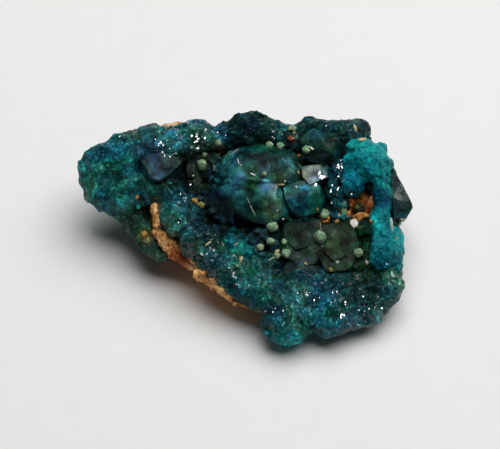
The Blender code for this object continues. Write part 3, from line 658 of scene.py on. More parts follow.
# The turquoise crust
turquoise = {
    # (right, up, out) and half sizes (across, up, deep)
    "lobes": {
        "cap": ((16.4, 8.9, -0.8), (3.3, 2.7, 2.6)),
        "capTop": ((15.4, 10.9, -1.2), (2.2, 1.3, 2.0)),
        "capLeft": ((14.1, 6.6, -1.3), (1.9, 2.4, 2.2)),
        "capRight": ((18.2, 7.6, -1.4), (1.35, 3.4, 2.2)),
        "capCorner": ((17.9, 10.5, -1.5), (1.2, 1.3, 1.7)),
        "pillarTop": ((18.3, 4.0, -1.6), (1.5, 2.8, 2.2)),
        "pillar": ((18.0, 0.8, -1.6), (1.5, 3.2, 2.2)),
        "pillarLow": ((18.6, -2.8, -1.9), (2.3, 3.2, 2.4)),
        "edgeKnob": ((20.2, -1.2, -2.6), (0.9, 1.8, 1.6)),
        "edgeLow": ((20.0, -4.3, -2.9), (1.0, 2.0, 1.7)),
    },
    "voxel": 0.17, "rough": 0.12, "softened": 5,
    # round knobs over it: cell size, seed, reach, height and share of the unshaded colour; between the
    # knobs the colour is darkened as painted shade
    "knobs": [(0.85, 21, 0.55, 0.13, 0.4), (0.38, 22, 0.26, 0.09, 0.6)],
    "swell": [(2.0, 23, 0.16)], "sunk": 0.1, "limits": (-0.5, 0.3),
    "deep": (0.4, 0.34, 0.55),    # painted shade: what the hollows between the knobs keep of each colour
    "clouds": [(1.3, 24, 0.45), (0.5, 26, 0.25)], "toneSeed": 25,
    "tones": {
        "top": ((16.2, 11.0), 1.6, (0.01, 0.4, 0.33)),
        "centre": ((15.9, 8.8), 1.5, (0.002, 0.31, 0.31)),
        "left": ((13.6, 6.2), 1.7, (0.002, 0.28, 0.32)),
        "right": ((19.2, 7.4), 1.5, (0.008, 0.36, 0.3)),
        "neck": ((17.6, 4.2), 1.2, (0.002, 0.1, 0.15)),
        "innerEdge": ((17.1, 0.8), 1.1, (0.01, 0.62, 0.5)),
        "pillar": ((18.7, 1.4), 1.3, (0.002, 0.23, 0.23)),
        "low": ((18.2, -3.0), 2.0, (0.006, 0.2, 0.205)),
        "edge": ((20.5, -2.0), 1.4, (0.008, 0.34, 0.29)),
    },
}
print("turquoise crust")
turquoisePoints, outward, turquoiseFaces = fusedSkin([
    lobeShape(place, half, 60 + n, 0.0, 4, turquoise["rough"])
    for n, (place, half) in enumerate(turquoise["lobes"].values())], turquoise["voxel"])
turquoisePoints = turquoisePoints - hollowness(
    turquoisePoints, turquoiseFaces, turquoise["softened"])
swell = layeredNoise(turquoisePoints, turquoise["swell"])
unshadedShare = 0.0
for size, seed, reach, height, share in turquoise["knobs"]:
    gap, _, cell = nearestCells(turquoisePoints, size, seed)
    knob = np.clip(1.0 - (gap / reach) ** 2, 0.0, 1.0)
    swell = swell + knob * height
    unshadedShare = unshadedShare + knob * share
unshadedShare = np.clip(unshadedShare, 0.0, 1.0)[:, None]
tint = zoneBlend(turquoisePoints, zoneTint, turquoise["tones"])
# painted shade: darker between the knobs, full colour on their tops
tint *= np.array(turquoise["deep"]) * (1.0 - unshadedShare) + unshadedShare
tint *= np.exp(layeredNoise(turquoisePoints, turquoise["clouds"]))[:, None]
tint *= cellTone(cell, turquoise["toneSeed"])[:, None]
swell = np.clip(swell - turquoise["sunk"], *turquoise["limits"])
turquoisePoints = turquoisePoints + outward * swell[:, None]
turquoisePiece = finished("turquoiseCrust", turquoisePoints, turquoiseFaces, turquoiseSkinPaint,
                          tint)
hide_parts("turquoise_crust")

# The drusy crust

crust = {
    "edge": [
        (-21.0, 8.9), (-19.6, 10.0), (-17.2, 11.3), (-13.6, 12.6), (-9.5, 13.2), (-6.5, 13.4),
        (-3.4, 12.4), (-0.8, 13.9), (1.8, 14.0), (5.0, 13.2), (9.0, 13.5), (12.0, 12.9),
        (14.8, 13.3), (16.4, 11.2), (18.4, 8.6), (19.4, 5.6), (20.3, 3.2), (19.6, 0.0),
        (19.6, -3.0), (20.0, -6.0), (18.6, -8.8), (15.6, -11.2), (12.0, -13.0), (8.5, -13.7),
        (5.2, -14.1), (3.5, -13.4), (2.9, -11.5), (0.6, -9.6), (-2.0, -8.0), (-4.0, -6.6),
        (-6.0, -4.8), (-8.0, -3.0), (-9.7, -1.0), (-10.7, 1.3), (-11.4, 3.0), (-13.4, 3.2),
        (-15.6, 3.3), (-18.0, 3.6), (-20.0, 5.2)],
    "centre": (0.0, 4.0),
    "top": [(0.22, -2.5), (0.42, -2.4), (0.60, -2.3), (0.74, -2.1), (0.86, -1.7), (0.95, -2.0),
            (1.0, -3.2)],
    "under": [(0.97, -4.8), (0.88, -6.2), (0.7, -7.0), (0.4, -7.2)],
    "steps": 96,
    "voxel": 0.24,
    "edgeRough": 0.6, "edgeFold": 0.5, "underDrop": 0.2,
    "bridgeUpTo": 5.2,            # lobes nearer than this run into each other, by lobes between them
    "bridgeShares": (0.33, 0.67), "bridgeSize": 0.96,
    "softened": 4,                # rounds of smoothing that let the lobes run into each other
    # how the skin rises and falls: noise as (size, seed, height), blocks as (size, seed, tilt, share)
    "relief": [(2.1, 1, 0.20), (0.9, 2, 0.06), (0.5, 8, 0.04)],
    "blocks": [(2.0, 3, 0.24, 1.0), (0.8, 4, 0.3, 0.6)],
    "blockShare": 0.6, "sunk": 0.05, "limits": (-0.5, 0.24),
    "pocketDepth": 3.0, "pocketEdge": 0.35, "pocketBack": -5.0,
    "clearOfTable": 0.02,
    # painted shade: level and gain of the darkening of the crust's colour in its hollows and lightening
    # on its bumps, its limits, and the rounds of smoothing it is measured against
    "paintedHollowShade": (0.85, 1.8), "paintedShadeLimits": (0.3, 1.4), "paintedShadeRounds": 10,
    "speckle": (0.6, 4, 31),      # cell size, seed of the cells, seed of their tone
    "shrink": 0.24,               # lobes are this much smaller than the solids, to leave room for grains
    # (right, up, out) and half sizes (across, up, deep)
    "lobes": {
        "snoutTip": ((-20.3, 7.9, -2.6), (2.7, 3.3, 3.0)),
        "snoutUpper": ((-18.6, 9.6, -1.2), (2.6, 2.3, 2.0)),
        "snoutBrow": ((-19.7, 10.3, -1.8), (1.5, 1.5, 1.7)),
        "snoutLow": ((-19.2, 5.2, -3.4), (2.9, 2.8, 2.8)),
        "snoutNeck": ((-15.7, 5.4, -2.2), (2.6, 3.2, 2.6)),
        "snoutMiddle": ((-15.9, 9.2, -1.4), (2.6, 2.9, 2.6)),
        "snoutKnob": ((-17.3, 11.6, -2.0), (1.5, 1.6, 1.7)),
        "ridgeLeft": ((-12.9, 11.7, -1.0), (3.0, 3.0, 2.8)),
        "ridgeMiddle": ((-9.7, 11.6, 0.0), (3.4, 2.6, 2.6)),
        "ridgeRight": ((-6.7, 12.6, -0.6), (3.0, 2.6, 2.6)),
        "ridgeSaddle": ((-3.9, 11.9, -1.2), (1.8, 1.9, 2.2)),
        "backDome": ((0.1, 13.2, -0.8), (3.6, 3.0, 3.2)),
        "backDomeRight": ((1.5, 13.4, -0.9), (2.9, 3.0, 3.0)),
        "backStep": ((5.6, 12.2, -1.5), (2.6, 2.1, 2.8)),
        "backLump": ((8.8, 13.2, -1.5), (2.3, 2.3, 2.7)),
        "backFar": ((12.6, 12.9, -1.8), (2.4, 2.2, 2.8)),
        "backCorner": ((14.9, 12.8, -2.0), (2.3, 2.4, 2.4)),
        "rightShoulder": ((18.4, 6.9, -3.0), (2.0, 3.6, 2.4)),
        "rightSide": ((19.6, -3.3, -3.2), (1.8, 3.0, 2.4)),
        "rightCorner": ((18.6, -7.4, -3.0), (2.8, 2.8, 2.4)),
        "frontRight": ((15.3, -10.5, -3.2), (3.5, 2.7, 2.4)),
        "frontMiddle": ((11.0, -11.4, -2.2), (3.3, 3.3, 2.4)),
        "frontLobe": ((5.6, -12.2, -2.2), (3.8, 3.5, 2.6)),
        "frontLobeTop": ((4.6, -9.6, -1.3), (3.2, 2.4, 2.0)),
        "frontLeft": ((0.9, -8.0, -1.6), (2.9, 2.8, 2.2)),
        "leftFront": ((-3.2, -4.9, -1.4), (3.0, 2.8, 2.2)),
        "leftWall": ((-6.4, -1.6, -1.2), (2.8, 2.9, 2.2)),
        "leftHigh": ((-12.0, 5.6, -1.6), (2.4, 2.2, 2.2)),
        "underNeck": ((-15.6, 2.7, -4.6), (2.4, 2.6, 2.4)),
        "underLeft": ((-14.2, 0.9, -5.4), (2.5, 2.2, 2.2)),
        "underMiddle": ((-11.8, -1.3, -6.4), (2.4, 2.0, 1.8)),
        "bandLeft": ((-14.1, -1.2, -3.9), (1.2, 1.3, 1.5)),
        "bandLower": ((-12.9, -2.7, -3.9), (1.2, 1.1, 1.5)),
        "bandFoot": ((-11.3, -3.8, -4.0), (1.3, 0.9, 1.4)),
        "shelf": ((7.2, -7.3, -1.9), (4.6, 2.6, 2.0)),
        "shelfRight": ((12.6, -7.6, -2.4), (4.6, 2.6, 2.0)),
        "shelfLeft": ((1.8, -4.6, -2.6), (3.2, 2.2, 1.8)),
        "backSkirtLeft": ((-9.5, 9.4, -6.0), (4.0, 3.0, 3.0)),
        "backSkirt": ((2.5, 10.2, -6.2), (4.8, 3.0, 3.4)),
        "backSkirtRight": ((11.5, 9.6, -6.6), (4.8, 3.0, 3.2)),
        "rightSkirt": ((18.6, 1.0, -6.0), (2.4, 4.8, 2.8)),
    },
    "pocket": [(15.9, 6.0), (13.8, 3.7), (13.5, 2.4), (14.8, 1.2), (16.8, 1.6), (17.2, 3.6),
               (16.8, 5.2)],
}
overgrown = {
    "leftPrism": [
        (-10.6, 5.4, 0.2), (-8.4, 5.6, 0.4), (-7.7, 4.2, 0.3), (-8.0, 0.6, 0.8),
        (-9.6, -0.2, 0.8), (-11.0, 1.0, 0.3), (-11.3, 4.0, 0.0), (-9.6, 2.6, 1.3),
        (-7.2, 3.8, -1.4), (-7.4, 0.0, -1.2), (-9.8, -1.0, -0.9), (-11.6, 0.8, -1.2),
        (-11.8, 4.4, -1.4)],
    "darkFront": [
        (-6.8, 0.2, -0.2), (-4.2, 0.4, -0.4), (-3.6, -1.8, 0.0), (-5.8, -2.4, 0.4),
        (-7.4, -1.2, 0.2), (-7.6, 0.8, -1.6), (-3.4, 0.8, -1.6), (-3.0, -2.4, -1.4)],
}


def crustBody():
    # rings from the middle of the underside, round the edge, to the middle of the top
    steps = crust["steps"]
    cx, cy = crust["centre"]
    rows = crust["under"][::-1] + crust["top"][::-1]
    points, faces = [], []
    for share, out in rows:
        for step in range(steps):
            angle = 2.0 * math.pi * step / steps
            reach = share * reachTo(crust["edge"], crust["centre"], angle)
            right, up = cx + reach * math.cos(angle), cy + reach * math.sin(angle)
            fold = Vector((right * crust["edgeFold"], up * crust["edgeFold"], out))
            rough = crust["edgeRough"] * noise.noise(fold)
            points.append(seen(right, up, out + rough))
    around = [(step, (step + 1) % steps) for step in range(steps)]
    for base in range(0, (len(rows) - 1) * steps, steps):
        faces += [(base + a, base + b, base + steps + b, base + steps + a) for a, b in around]
    last = (len(rows) - 1) * steps
    underTip, topTip = len(points), len(points) + 1
    points.append(seen(cx, cy, crust["under"][-1][1] - crust["underDrop"]))
    points.append(seen(cx, cy, crust["top"][0][1]))
    faces += [(b, a, underTip) for a, b in around]
    faces += [(last + a, last + b, topTip) for a, b in around]
    return points, faces


def insideOutline(where, outline):
    # True for seen places inside a closed outline
    inside = np.zeros(len(where), bool)
    for (ax, ay), (bx, by) in zip(outline, outline[1:] + outline[:1]):
        crosses = (ay > where[:, 1]) != (by > where[:, 1])
        at = ax + (where[:, 1] - ay) * (bx - ax) / ((by - ay) or tiny)
        inside ^= crosses & (where[:, 0] < at)
    return inside


def outlineGap(where, outline):
    # how far seen places are from the nearest side of an outline
    gaps = []
    for a, b in zip(np.array(outline), np.array(outline[1:] + outline[:1])):
        along = np.clip(((where[:, :2] - a) @ (b - a)) / ((b - a) @ (b - a)), 0.0, 1.0)
        gaps.append(np.linalg.norm(where[:, :2] - a - along[:, None] * (b - a), axis=1))
    return np.min(gaps, axis=0)


roots = {"level": -5.0, "width": 0.8, "flatWithin": 0.05}     # width is a share of the crystal's own


def closeHull(bm):
    # the flat-faced shape round a bmesh's points
    bmesh.ops.convex_hull(bm, input=bm.verts)
    bmesh.ops.delete(bm, geom=[v for v in bm.verts if not v.link_faces], context="VERTS")


def hullOf(corners):
    # a crystal from the corners that are seen, drawn in to a narrower root
    bm = bmesh.new()
    flat = [partToFace @ seen(*corner) for corner in corners]
    middle = sum(flat, Vector()) / len(flat)
    for spot in flat:
        root = middle.lerp(spot, roots["width"])
        root.z = roots["level"]
        bm.verts.new(faceToPart @ spot)
        bm.verts.new(faceToPart @ root)
    closeHull(bm)
    bmesh.ops.dissolve_limit(bm, angle_limit=roots["flatWithin"], verts=bm.verts, edges=bm.edges)
    return bm


def rootedHull(corners):
    bm = hullOf(corners)
    bmesh.ops.triangulate(bm, faces=bm.faces)
    return fromBmesh(bm)


print("crust")
shapes = [crustBody()]
lobes = [(np.array(place), np.array(half)) for place, half in crust["lobes"].values()]
for number, (place, half) in enumerate(lobes):
    shapes.append(lobeShape(place, half, number, crust["shrink"], 4))
    for other, (nextPlace, nextHalf) in enumerate(lobes[:number]):
        if np.linalg.norm(place - nextPlace) < crust["bridgeUpTo"]:
            for share in crust["bridgeShares"]:
                shapes.append(lobeShape(
                    place * share + nextPlace * (1.0 - share),
                    (half * share + nextHalf * (1.0 - share)) * crust["bridgeSize"],
                    number * 40 + other, crust["shrink"]))
shapes += [rootedHull(corners) for corners in overgrown.values()]
points, crustNormals, crustFaces = fusedSkin(shapes, crust["voxel"])
points = points - hollowness(points, crustFaces, crust["softened"])
blocks = sum(share * blockSteps(points, *block) for *block, share in crust["blocks"])
depth = layeredNoise(points, crust["relief"]) + blocks * crust["blockShare"] - crust["sunk"]
crustPoints = points + crustNormals * np.clip(depth, *crust["limits"])[:, None]

# the crust dips away where the rusty matrix shows through it
crustSeen = seenFrom(crustPoints)
inPocket = insideOutline(crustSeen, crust["pocket"]) & (crustSeen[:, 2] > crust["pocketBack"])
dip = np.where(inPocket, np.clip(
    outlineGap(crustSeen, crust["pocket"]) / crust["pocketEdge"], 0.0, 1.0), 0.0)
crustPoints -= np.array(towardEye) * (dip * crust["pocketDepth"])[:, None]
crustPoints[:, 2] = np.maximum(crustPoints[:, 2], crust["clearOfTable"])

# painted shade: the crust's colour is darkened where its skin sinks below its smoothed surroundings and
# lightened where it stands above them
shadeRise = np.einsum("ij,ij->i", hollowness(crustPoints, crustFaces, crust["paintedShadeRounds"]), crustNormals)
shadeRise[dip > 0.0] = 0.0
level, gain = crust["paintedHollowShade"]
crustTint = druseTone(crustPoints) * np.clip(level + gain * shadeRise, *crust["paintedShadeLimits"])[:, None]
size, seed, toneSeed = crust["speckle"]
cell = nearestCells(crustPoints, size, seed)[2]
crustTint *= cellTone(cell, toneSeed)[:, None]
crustPiece = finished("druseCrust", crustPoints, crustFaces, crustPaint, crustTint,
                      zoneBlend(crustPoints, zoneWet)[:, 0], smooth=True)
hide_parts("dioptase")

# Small crystals, and the places they grow from

rhombFall = 1.233                 # how steeply a dioptase rhomb falls across the prism's radius
sixth = math.pi / 3.0
# a prism with three rhombs on top: corners 0 to 5 are its foot, 6 to 11 its shoulders, 12 its tip
prismFaces = [(n, (n + 1) % 6, 6 + (n + 1) % 6, 6 + n) for n in range(6)]
prismFaces += [(12, 6 + (n - 1) % 6, 6 + n, 6 + (n + 1) % 6) for n in (0, 2, 4)]
prismFaces += [(5, 4, 3, 2, 1, 0)]
plateFaces = prismFaces[:6] + [(5, 4, 3, 2, 1, 0), (6, 7, 8, 9, 10, 11)]


def sidesOf(axes):
    # two directions across each axis
    helper = np.where(np.abs(axes[:, 2:3]) < 0.9, [[0.0, 0.0, 1.0]], [[1.0, 0.0, 0.0]])
    across = unit(np.cross(helper, axes))
    return across, np.cross(axes, across)


def repeated(faces, step, count):
    # the faces of that many shapes, each with that many corners
    return [tuple(n * step + i for i in face) for n in range(count) for face in faces]


def crystalField(places, axes, radii, lengths, turns, squash):
    # many small crystals as one mesh: places are their feet
    across, other = sidesOf(axes)
    points = np.zeros((len(places), 13, 3))
    for step in range(6):
        angle = turns + sixth * step
        ring = across * np.cos(angle)[:, None] + other * np.sin(angle)[:, None]
        ring = ring * (1.0 + squash[:, None] * np.cos(angle * 2.0)[:, None])
        low = rhombFall * radii if step % 2 == 0 else 0.5 * rhombFall * radii
        points[:, step] = places + ring * radii[:, None]
        points[:, 6 + step] = places + ring * radii[:, None] + axes * (lengths - low)[:, None]
    points[:, 12] = places + axes * lengths[:, None]
    return points.reshape(-1, 3), repeated(prismFaces, 13, len(places))


def scatterOver(points, faces, normals, count, weightOf):
    # random places on a skin, as likely as each triangle's area times the weight given to it
    tris = np.array([(face[0], face[k], face[k + 1]) for face in faces for k in range(1, len(face) - 1)])
    a, b, c = (points[tris[:, k]] for k in range(3))
    area = 0.5 * np.linalg.norm(np.cross(b - a, c - a), axis=1)
    weight = area * weightOf((a + b + c) / 3.0)
    pick = rng.choice(len(tris), count, p=weight / weight.sum())
    u, v = rng.random(count), rng.random(count)
    swap = u + v > 1.0
    u[swap], v[swap] = 1.0 - u[swap], 1.0 - v[swap]
    place = a[pick] + (b - a)[pick] * u[:, None] + (c - a)[pick] * v[:, None]
    return place, unit(normals[tris[pick]].mean(axis=1))


def buried(tree, point):
    # True where a point lies inside a closed skin
    spot, normal = tree.find_nearest(Vector(point))[:2]
    return spot is not None and (Vector(point) - spot).dot(normal) < 0.0


def druseWeight(middles):
    # fewer crystals low on the sides, and none in the rusty pocket
    where = seenFrom(middles)
    height = where[:, 2] - grains["lowLevel"]
    inside = insideOutline(where, crust["pocket"]) & (height > 0.0)
    return np.clip(height / grains["lowRise"], grains["lowShare"], 1.0) * np.where(inside, 0.0, 1.0)


print("grains")
grains = {
    "coarse": {"count": 500, "size": (0.7, 1.2), "lean": 0.3},
    "fine": {"count": 8000, "size": (0.35, 0.7), "lean": 0.4},
    "tall": (1.5, 2.1), "sunk": 0.74, "squash": 0.18, "toneSpread": 0.22,
    # painted shade: grains are drawn darker in the crust's hollows and lighter on its bumps, within
    # these limits
    "paintedHollowShade": (0.8, 2.0), "paintedShadeLimits": (0.15, 1.5),
    "clearOfTable": 0.05,
    "lowLevel": -8.0, "lowRise": 4.0, "lowShare": 0.35,     # how they thin out low on the sides
}
fullTurn = 6.28
otherSkins = [treeOf(matrixPoints, matrixFaces), treeOf(turquoisePoints, turquoiseFaces)]
crustTree = treeOf(crustPoints, crustFaces)
faceShadeRise = np.array([shadeRise[list(face)].mean() for face in crustFaces])
for label in ("coarse", "fine"):
    kind = grains[label]
    place, outward = scatterOver(crustPoints, crustFaces, crustNormals, kind["count"], druseWeight)
    keep = np.array([not any(buried(tree, p) for tree in otherSkins) for p in place])
    place, outward = place[keep], outward[keep]
    count = len(place)
    radius = zoneBlend(place, zoneGrain)[:, 0] * rng.uniform(*kind["size"], count) * 0.5
    length = radius * rng.uniform(*grains["tall"], count)
    axis = unit(outward + rng.normal(0.0, kind["lean"], (count, 3)))
    tint = druseTone(place) * np.exp(rng.normal(0.0, grains["toneSpread"], count))[:, None]
    # painted shade: each grain takes the darkening of the part of the crust it stands on
    shadeRiseHere = faceShadeRise[[crustTree.find_nearest(Vector(p))[2] for p in place]]
    level, gain = grains["paintedHollowShade"]
    tint *= np.clip(level + gain * shadeRiseHere, *grains["paintedShadeLimits"])[:, None]
    grainPoints, grainFaces = crystalField(
        place - axis * (length * grains["sunk"])[:, None], axis, radius, length,
        rng.uniform(0.0, fullTurn, count), rng.uniform(-grains["squash"], grains["squash"], count))
    grainPoints[:, 2] = np.maximum(grainPoints[:, 2], grains["clearOfTable"])
    finished("grains" + label.title(), grainPoints, grainFaces, grainPaint,
             np.repeat(tint, 13, axis=0), np.repeat(zoneBlend(place, zoneWet)[:, 0], 13))

# Large crystals, from the corners that are seen

large = {
    "mainBack": [
        (-1.0, 10.0, 1.9), (0.4, 10.6, 2.0), (2.4, 10.3, 2.5), (5.0, 9.6, 1.9), (6.4, 7.6, 1.0),
        (5.2, 6.2, 1.0), (2.1, 6.5, 2.1), (-0.9, 6.8, 2.3), (-2.4, 8.4, 1.4),
        (-3.4, 9.4, -0.4), (-2.3, 10.6, -0.2), (-0.6, 11.3, 0.2), (2.2, 11.7, 0.4),
        (5.4, 10.9, -0.2), (7.5, 8.6, -0.6), (7.3, 6.4, -0.6), (-3.6, 7.2, -0.6),
        (-2.8, 4.9, -0.9)],
    "mainFront": [
        (-1.2, 6.9, 1.3), (2.2, 7.2, 1.75), (4.2, 6.5, 1.2), (3.8, 3.6, 1.2), (4.9, 2.0, 0.2),
        (-1.6, 2.6, -0.2), (1.2, 0.9, -0.7), (-2.3, 4.6, 0.1), (3.4, 0.6, -0.6),
        (5.6, 3.6, -0.9), (5.8, 1.4, -1.2), (-2.8, 2.2, -1.4)],
    "mainLeft": [
        (-3.8, 5.7, -0.5), (-1.8, 6.4, 0.6), (-1.6, 3.4, 0.2), (-2.6, 1.2, -0.8),
        (-4.4, 1.6, -1.6), (-5.0, 3.4, -1.4), (-5.2, 5.0, -1.8), (-1.2, 4.6, -0.8),
        (-1.6, 0.8, -1.4)],
    "box": [
        (4.9, 6.0, 0.3), (8.8, 6.9, 0.2), (5.2, 4.1, 0.9), (9.8, 5.0, 0.8), (9.9, 6.0, -0.2),
        (6.0, 2.4, -0.6), (7.2, 1.7, -0.9), (10.2, 2.4, -0.9), (10.6, 4.6, -0.8)],
    "upperDark": [
        (8.9, 13.6, 0.7), (7.2, 12.0, 0.7), (9.8, 12.2, 1.9), (12.2, 12.4, 1.3),
        (11.4, 10.2, 1.1), (9.2, 10.0, 0.8),
        (6.8, 13.0, -0.6), (8.7, 14.0, -0.6), (11.4, 13.8, -0.7), (13.5, 12.4, -0.8),
        (13.5, 10.4, -1.0), (12.5, 8.8, -1.2), (10.0, 8.6, -0.8), (7.6, 9.8, -0.8)],
    # a crystal face whose pale colour is a painted reflection
    "mirror": [
        (7.4, 8.3, 0.5), (9.9, 8.7, 0.5), (10.3, 6.9, 0.8), (8.5, 6.0, 0.9), (7.6, 7.1, 0.8),
        (7.0, 8.5, -1.2), (10.2, 9.0, -1.2), (10.9, 6.8, -1.0)],
    # a flat crystal face whose grey-blue colour is a painted dim reflection
    "slate": [
        (-14.1, 9.3, 1.2), (-13.2, 10.1, 1.1), (-11.1, 10.4, 1.25), (-9.3, 9.7, 1.5),
        (-8.7, 8.9, 1.6), (-10.0, 7.7, 1.82), (-11.5, 6.7, 1.7), (-12.5, 6.9, 1.62),
        (-13.2, 8.1, 1.56),
        (-14.8, 10.0, -0.6), (-11.2, 11.4, -0.6), (-8.3, 9.6, -0.2), (-11.6, 6.0, -0.4),
        (-13.8, 6.8, -0.6)],
    "plainLeft": [
        (5.0, 0.9, -1.5), (9.9, 1.3, -1.3), (10.3, -2.0, -0.9), (9.3, -4.4, -0.95),
        (7.2, -5.2, -1.1), (5.2, -3.4, -1.2), (4.2, 1.8, -3.2), (10.8, 1.9, -3.2),
        (10.8, -4.8, -2.8), (7.0, -6.6, -2.6), (4.2, -4.2, -2.8)],
    "plainRight": [
        (9.7, 0.7, -1.5), (13.3, 0.9, -1.35), (14.7, -0.2, -1.3), (15.1, -3.2, -1.1),
        (13.4, -5.4, -0.9), (10.6, -5.5, -0.7), (9.4, -3.0, -0.9),
        (9.4, 1.5, -3.2), (14.9, 1.4, -3.2), (15.7, -2.4, -3.0), (14.7, -6.0, -2.8),
        (10.4, -6.8, -2.6)],
    "plainStepLeft": [
        (5.9, 0.0, -1.25), (7.6, 0.7, -1.2), (8.7, -0.2, -0.95), (8.3, -2.2, -0.75),
        (6.6, -2.7, -0.85), (5.6, -1.6, -1.05)],
    "plainStepRight": [
        (10.7, -0.9, -1.05), (12.4, -0.2, -1.1), (13.7, -1.3, -0.95), (13.3, -3.4, -0.7),
        (11.7, -4.3, -0.6), (10.3, -2.9, -0.7)],
    "plainLow": [
        (5.4, -4.4, -1.35), (8.2, -4.2, -1.2), (9.8, -5.4, -0.95), (7.6, -6.4, -0.8),
        (5.0, -5.8, -1.0), (4.4, -3.8, -3.0), (10.0, -3.8, -3.0)],
    "rightGlass": [
        (18.9, 9.6, -2.2), (20.0, 8.0, -1.3), (20.7, 6.6, -1.0), (22.2, 3.7, -1.7),
        (22.4, 3.0, -2.2), (21.5, 1.5, -1.9), (19.8, 1.7, -1.3), (19.6, 4.2, -0.7),
        (19.3, 7.0, -0.9), (18.8, 4.0, -2.6), (22.3, 3.2, -3.0), (21.6, 4.0, -4.2),
        (20.4, 7.0, -3.9), (18.8, 8.8, -3.4), (20.6, 1.4, -3.6), (21.4, 2.2, -4.2)],
    "darkBack": [
        (-7.9, 10.2, -0.9), (-4.4, 10.8, -0.9), (-3.6, 8.2, -1.7), (-5.0, 6.4, -2.0),
        (-8.0, 7.2, -1.6), (-8.6, 10.6, -2.6), (-4.0, 11.4, -2.4), (-2.8, 8.2, -3.0)],
}
prisms = {
    # place, radius, half length, lean right, lean up, turn (degrees)
    "pocket": ((15.1, 2.7, -3.6), 0.8, 1.3, 10.0, 20.0, 20.0),
    "glintUpper": ((12.2, 7.2, -2.0), 1.3, 2.4, -10.0, 10.0, 0.0),
    "glintMiddle": ((11.6, 5.2, -2.2), 1.3, 2.6, 8.0, -16.0, 25.0),
    "glintLow": ((12.6, 3.6, -2.4), 1.2, 2.4, -6.0, -24.0, 50.0),
    "tealFloor": ((-1.0, -3.0, -2.4), 1.9, 2.6, -10.0, -30.0, 20.0),
    "floorMiddle": ((1.6, -1.0, -3.2), 1.6, 2.6, 14.0, -16.0, 5.0),
}
glow = {
    # the clear crystals' colours: seen at (right, up), reach, tint
    "mainLeft": ((-2.4, 7.4), 1.8, (0.02, 0.16, 0.16)),
    "mainTop": ((2.0, 8.9), 2.2, (0.003, 0.042, 0.033)),
    "mainRight": ((6.0, 8.6), 2.0, (0.014, 0.062, 0.048)),
    "mainMottle": ((-1.4, 6.6), 0.9, (0.05, 0.25, 0.29)),
    "mainMottleLow": ((-0.9, 5.4), 0.7, (0.02, 0.13, 0.13)),
    "mainArc": ((1.2, 9.2), 0.9, (0.003, 0.034, 0.026)),
    "mainArcRim": ((2.6, 8.2), 0.6, (0.02, 0.12, 0.14)),
    "mainEdge": ((5.2, 8.8), 0.7, (0.02, 0.11, 0.11)),
    "mainOlive": ((4.6, 7.0), 0.9, (0.018, 0.04, 0.01)),
    "mainShelf": ((1.4, 6.2), 0.9, (0.016, 0.11, 0.055)),
    # painted highlight: pale tint at the front corner of the main crystal
    "frontCornerHighlight": ((2.6, 5.8), 0.7, (0.07, 0.25, 0.25)),
    "frontDark": ((0.2, 4.4), 0.9, (0.003, 0.02, 0.022)),
    "frontPale": ((3.5, 3.2), 0.9, (0.08, 0.18, 0.125)),
    "frontLow": ((1.0, 1.6), 0.9, (0.006, 0.034, 0.026)),
    # painted highlight: pale blue line along the box crystal's upper edge
    "boxEdgeHighlight": ((8.0, 5.4), 0.7, (0.02, 0.24, 0.27)),
    "boxTop": ((6.6, 6.0), 0.7, (0.004, 0.06, 0.05)),
    "mainFront": ((0.6, 3.6), 1.8, (0.005, 0.05, 0.052)),
    "mainFrontLeft": ((-3.6, 3.4), 1.8, (0.003, 0.013, 0.019)),
    "mainFrontRight": ((3.6, 4.0), 1.3, (0.036, 0.145, 0.12)),
    "box": ((7.6, 4.2), 2.2, (0.005, 0.11, 0.095)),
    # painted reflection: the pale tint stands for the light this face reflects
    "mirror": ((8.7, 7.6), 1.3, (0.24, 0.32, 0.29)),
    "upperDark": ((10.4, 11.2), 2.8, (0.004, 0.028, 0.028)),
    "upperFacet": ((8.6, 12.8), 1.3, (0.014, 0.07, 0.072)),
    # painted reflection: the grey-blue tint stands for a dim reflection on this face
    "slate": ((-11.8, 8.8), 2.2, (0.016, 0.056, 0.07)),
    "darkBack": ((-6.0, 8.6), 2.2, (0.014, 0.028, 0.018)),
    "darkHollow": ((-4.8, 3.0), 1.8, (0.004, 0.016, 0.02)),
    "leftPrism": ((-9.4, 2.4), 2.0, (0.014, 0.095, 0.11)),
    "darkFront": ((-5.4, -1.0), 1.8, (0.006, 0.025, 0.025)),
    "plainLeft": ((7.8, -1.0), 2.0, (0.007, 0.028, 0.016)),
    "plainTeal": ((6.4, -1.6), 0.9, (0.005, 0.055, 0.036)),
    "plainRight": ((12.2, -2.0), 1.8, (0.008, 0.032, 0.009)),
    "plainBrown": ((10.4, 0.2), 1.2, (0.014, 0.024, 0.01)),
    "plainGreen": ((12.6, -3.6), 0.9, (0.01, 0.055, 0.016)),
    "plainEdge": ((14.6, -1.6), 0.9, (0.003, 0.034, 0.016)),
    "plainLow": ((7.0, -5.0), 1.8, (0.008, 0.028, 0.02)),
    "pocket": ((15.2, 2.7), 1.0, (0.03, 0.048, 0.022)),
    "rightGlassy": ((20.4, 4.0), 2.4, (0.003, 0.024, 0.017)),
    "glintDark": ((12.0, 6.0), 2.4, (0.006, 0.08, 0.1)),
    "tealFloor": ((-1.2, -3.0), 1.6, (0.007, 0.15, 0.16)),
    "floorMiddle": ((1.8, -0.6), 1.6, (0.012, 0.04, 0.042)),
}
facing = {
    "wear": 0.07, "wearProfile": 0.6,              # how far the edges are rounded off
    "finest": 0.5, "splits": 4,                    # faces are split until they can carry the colours
    "uneven": [(1.1, 71, 0.05), (0.45, 72, 0.02)],
    "sharpFrom": 24.0,
}


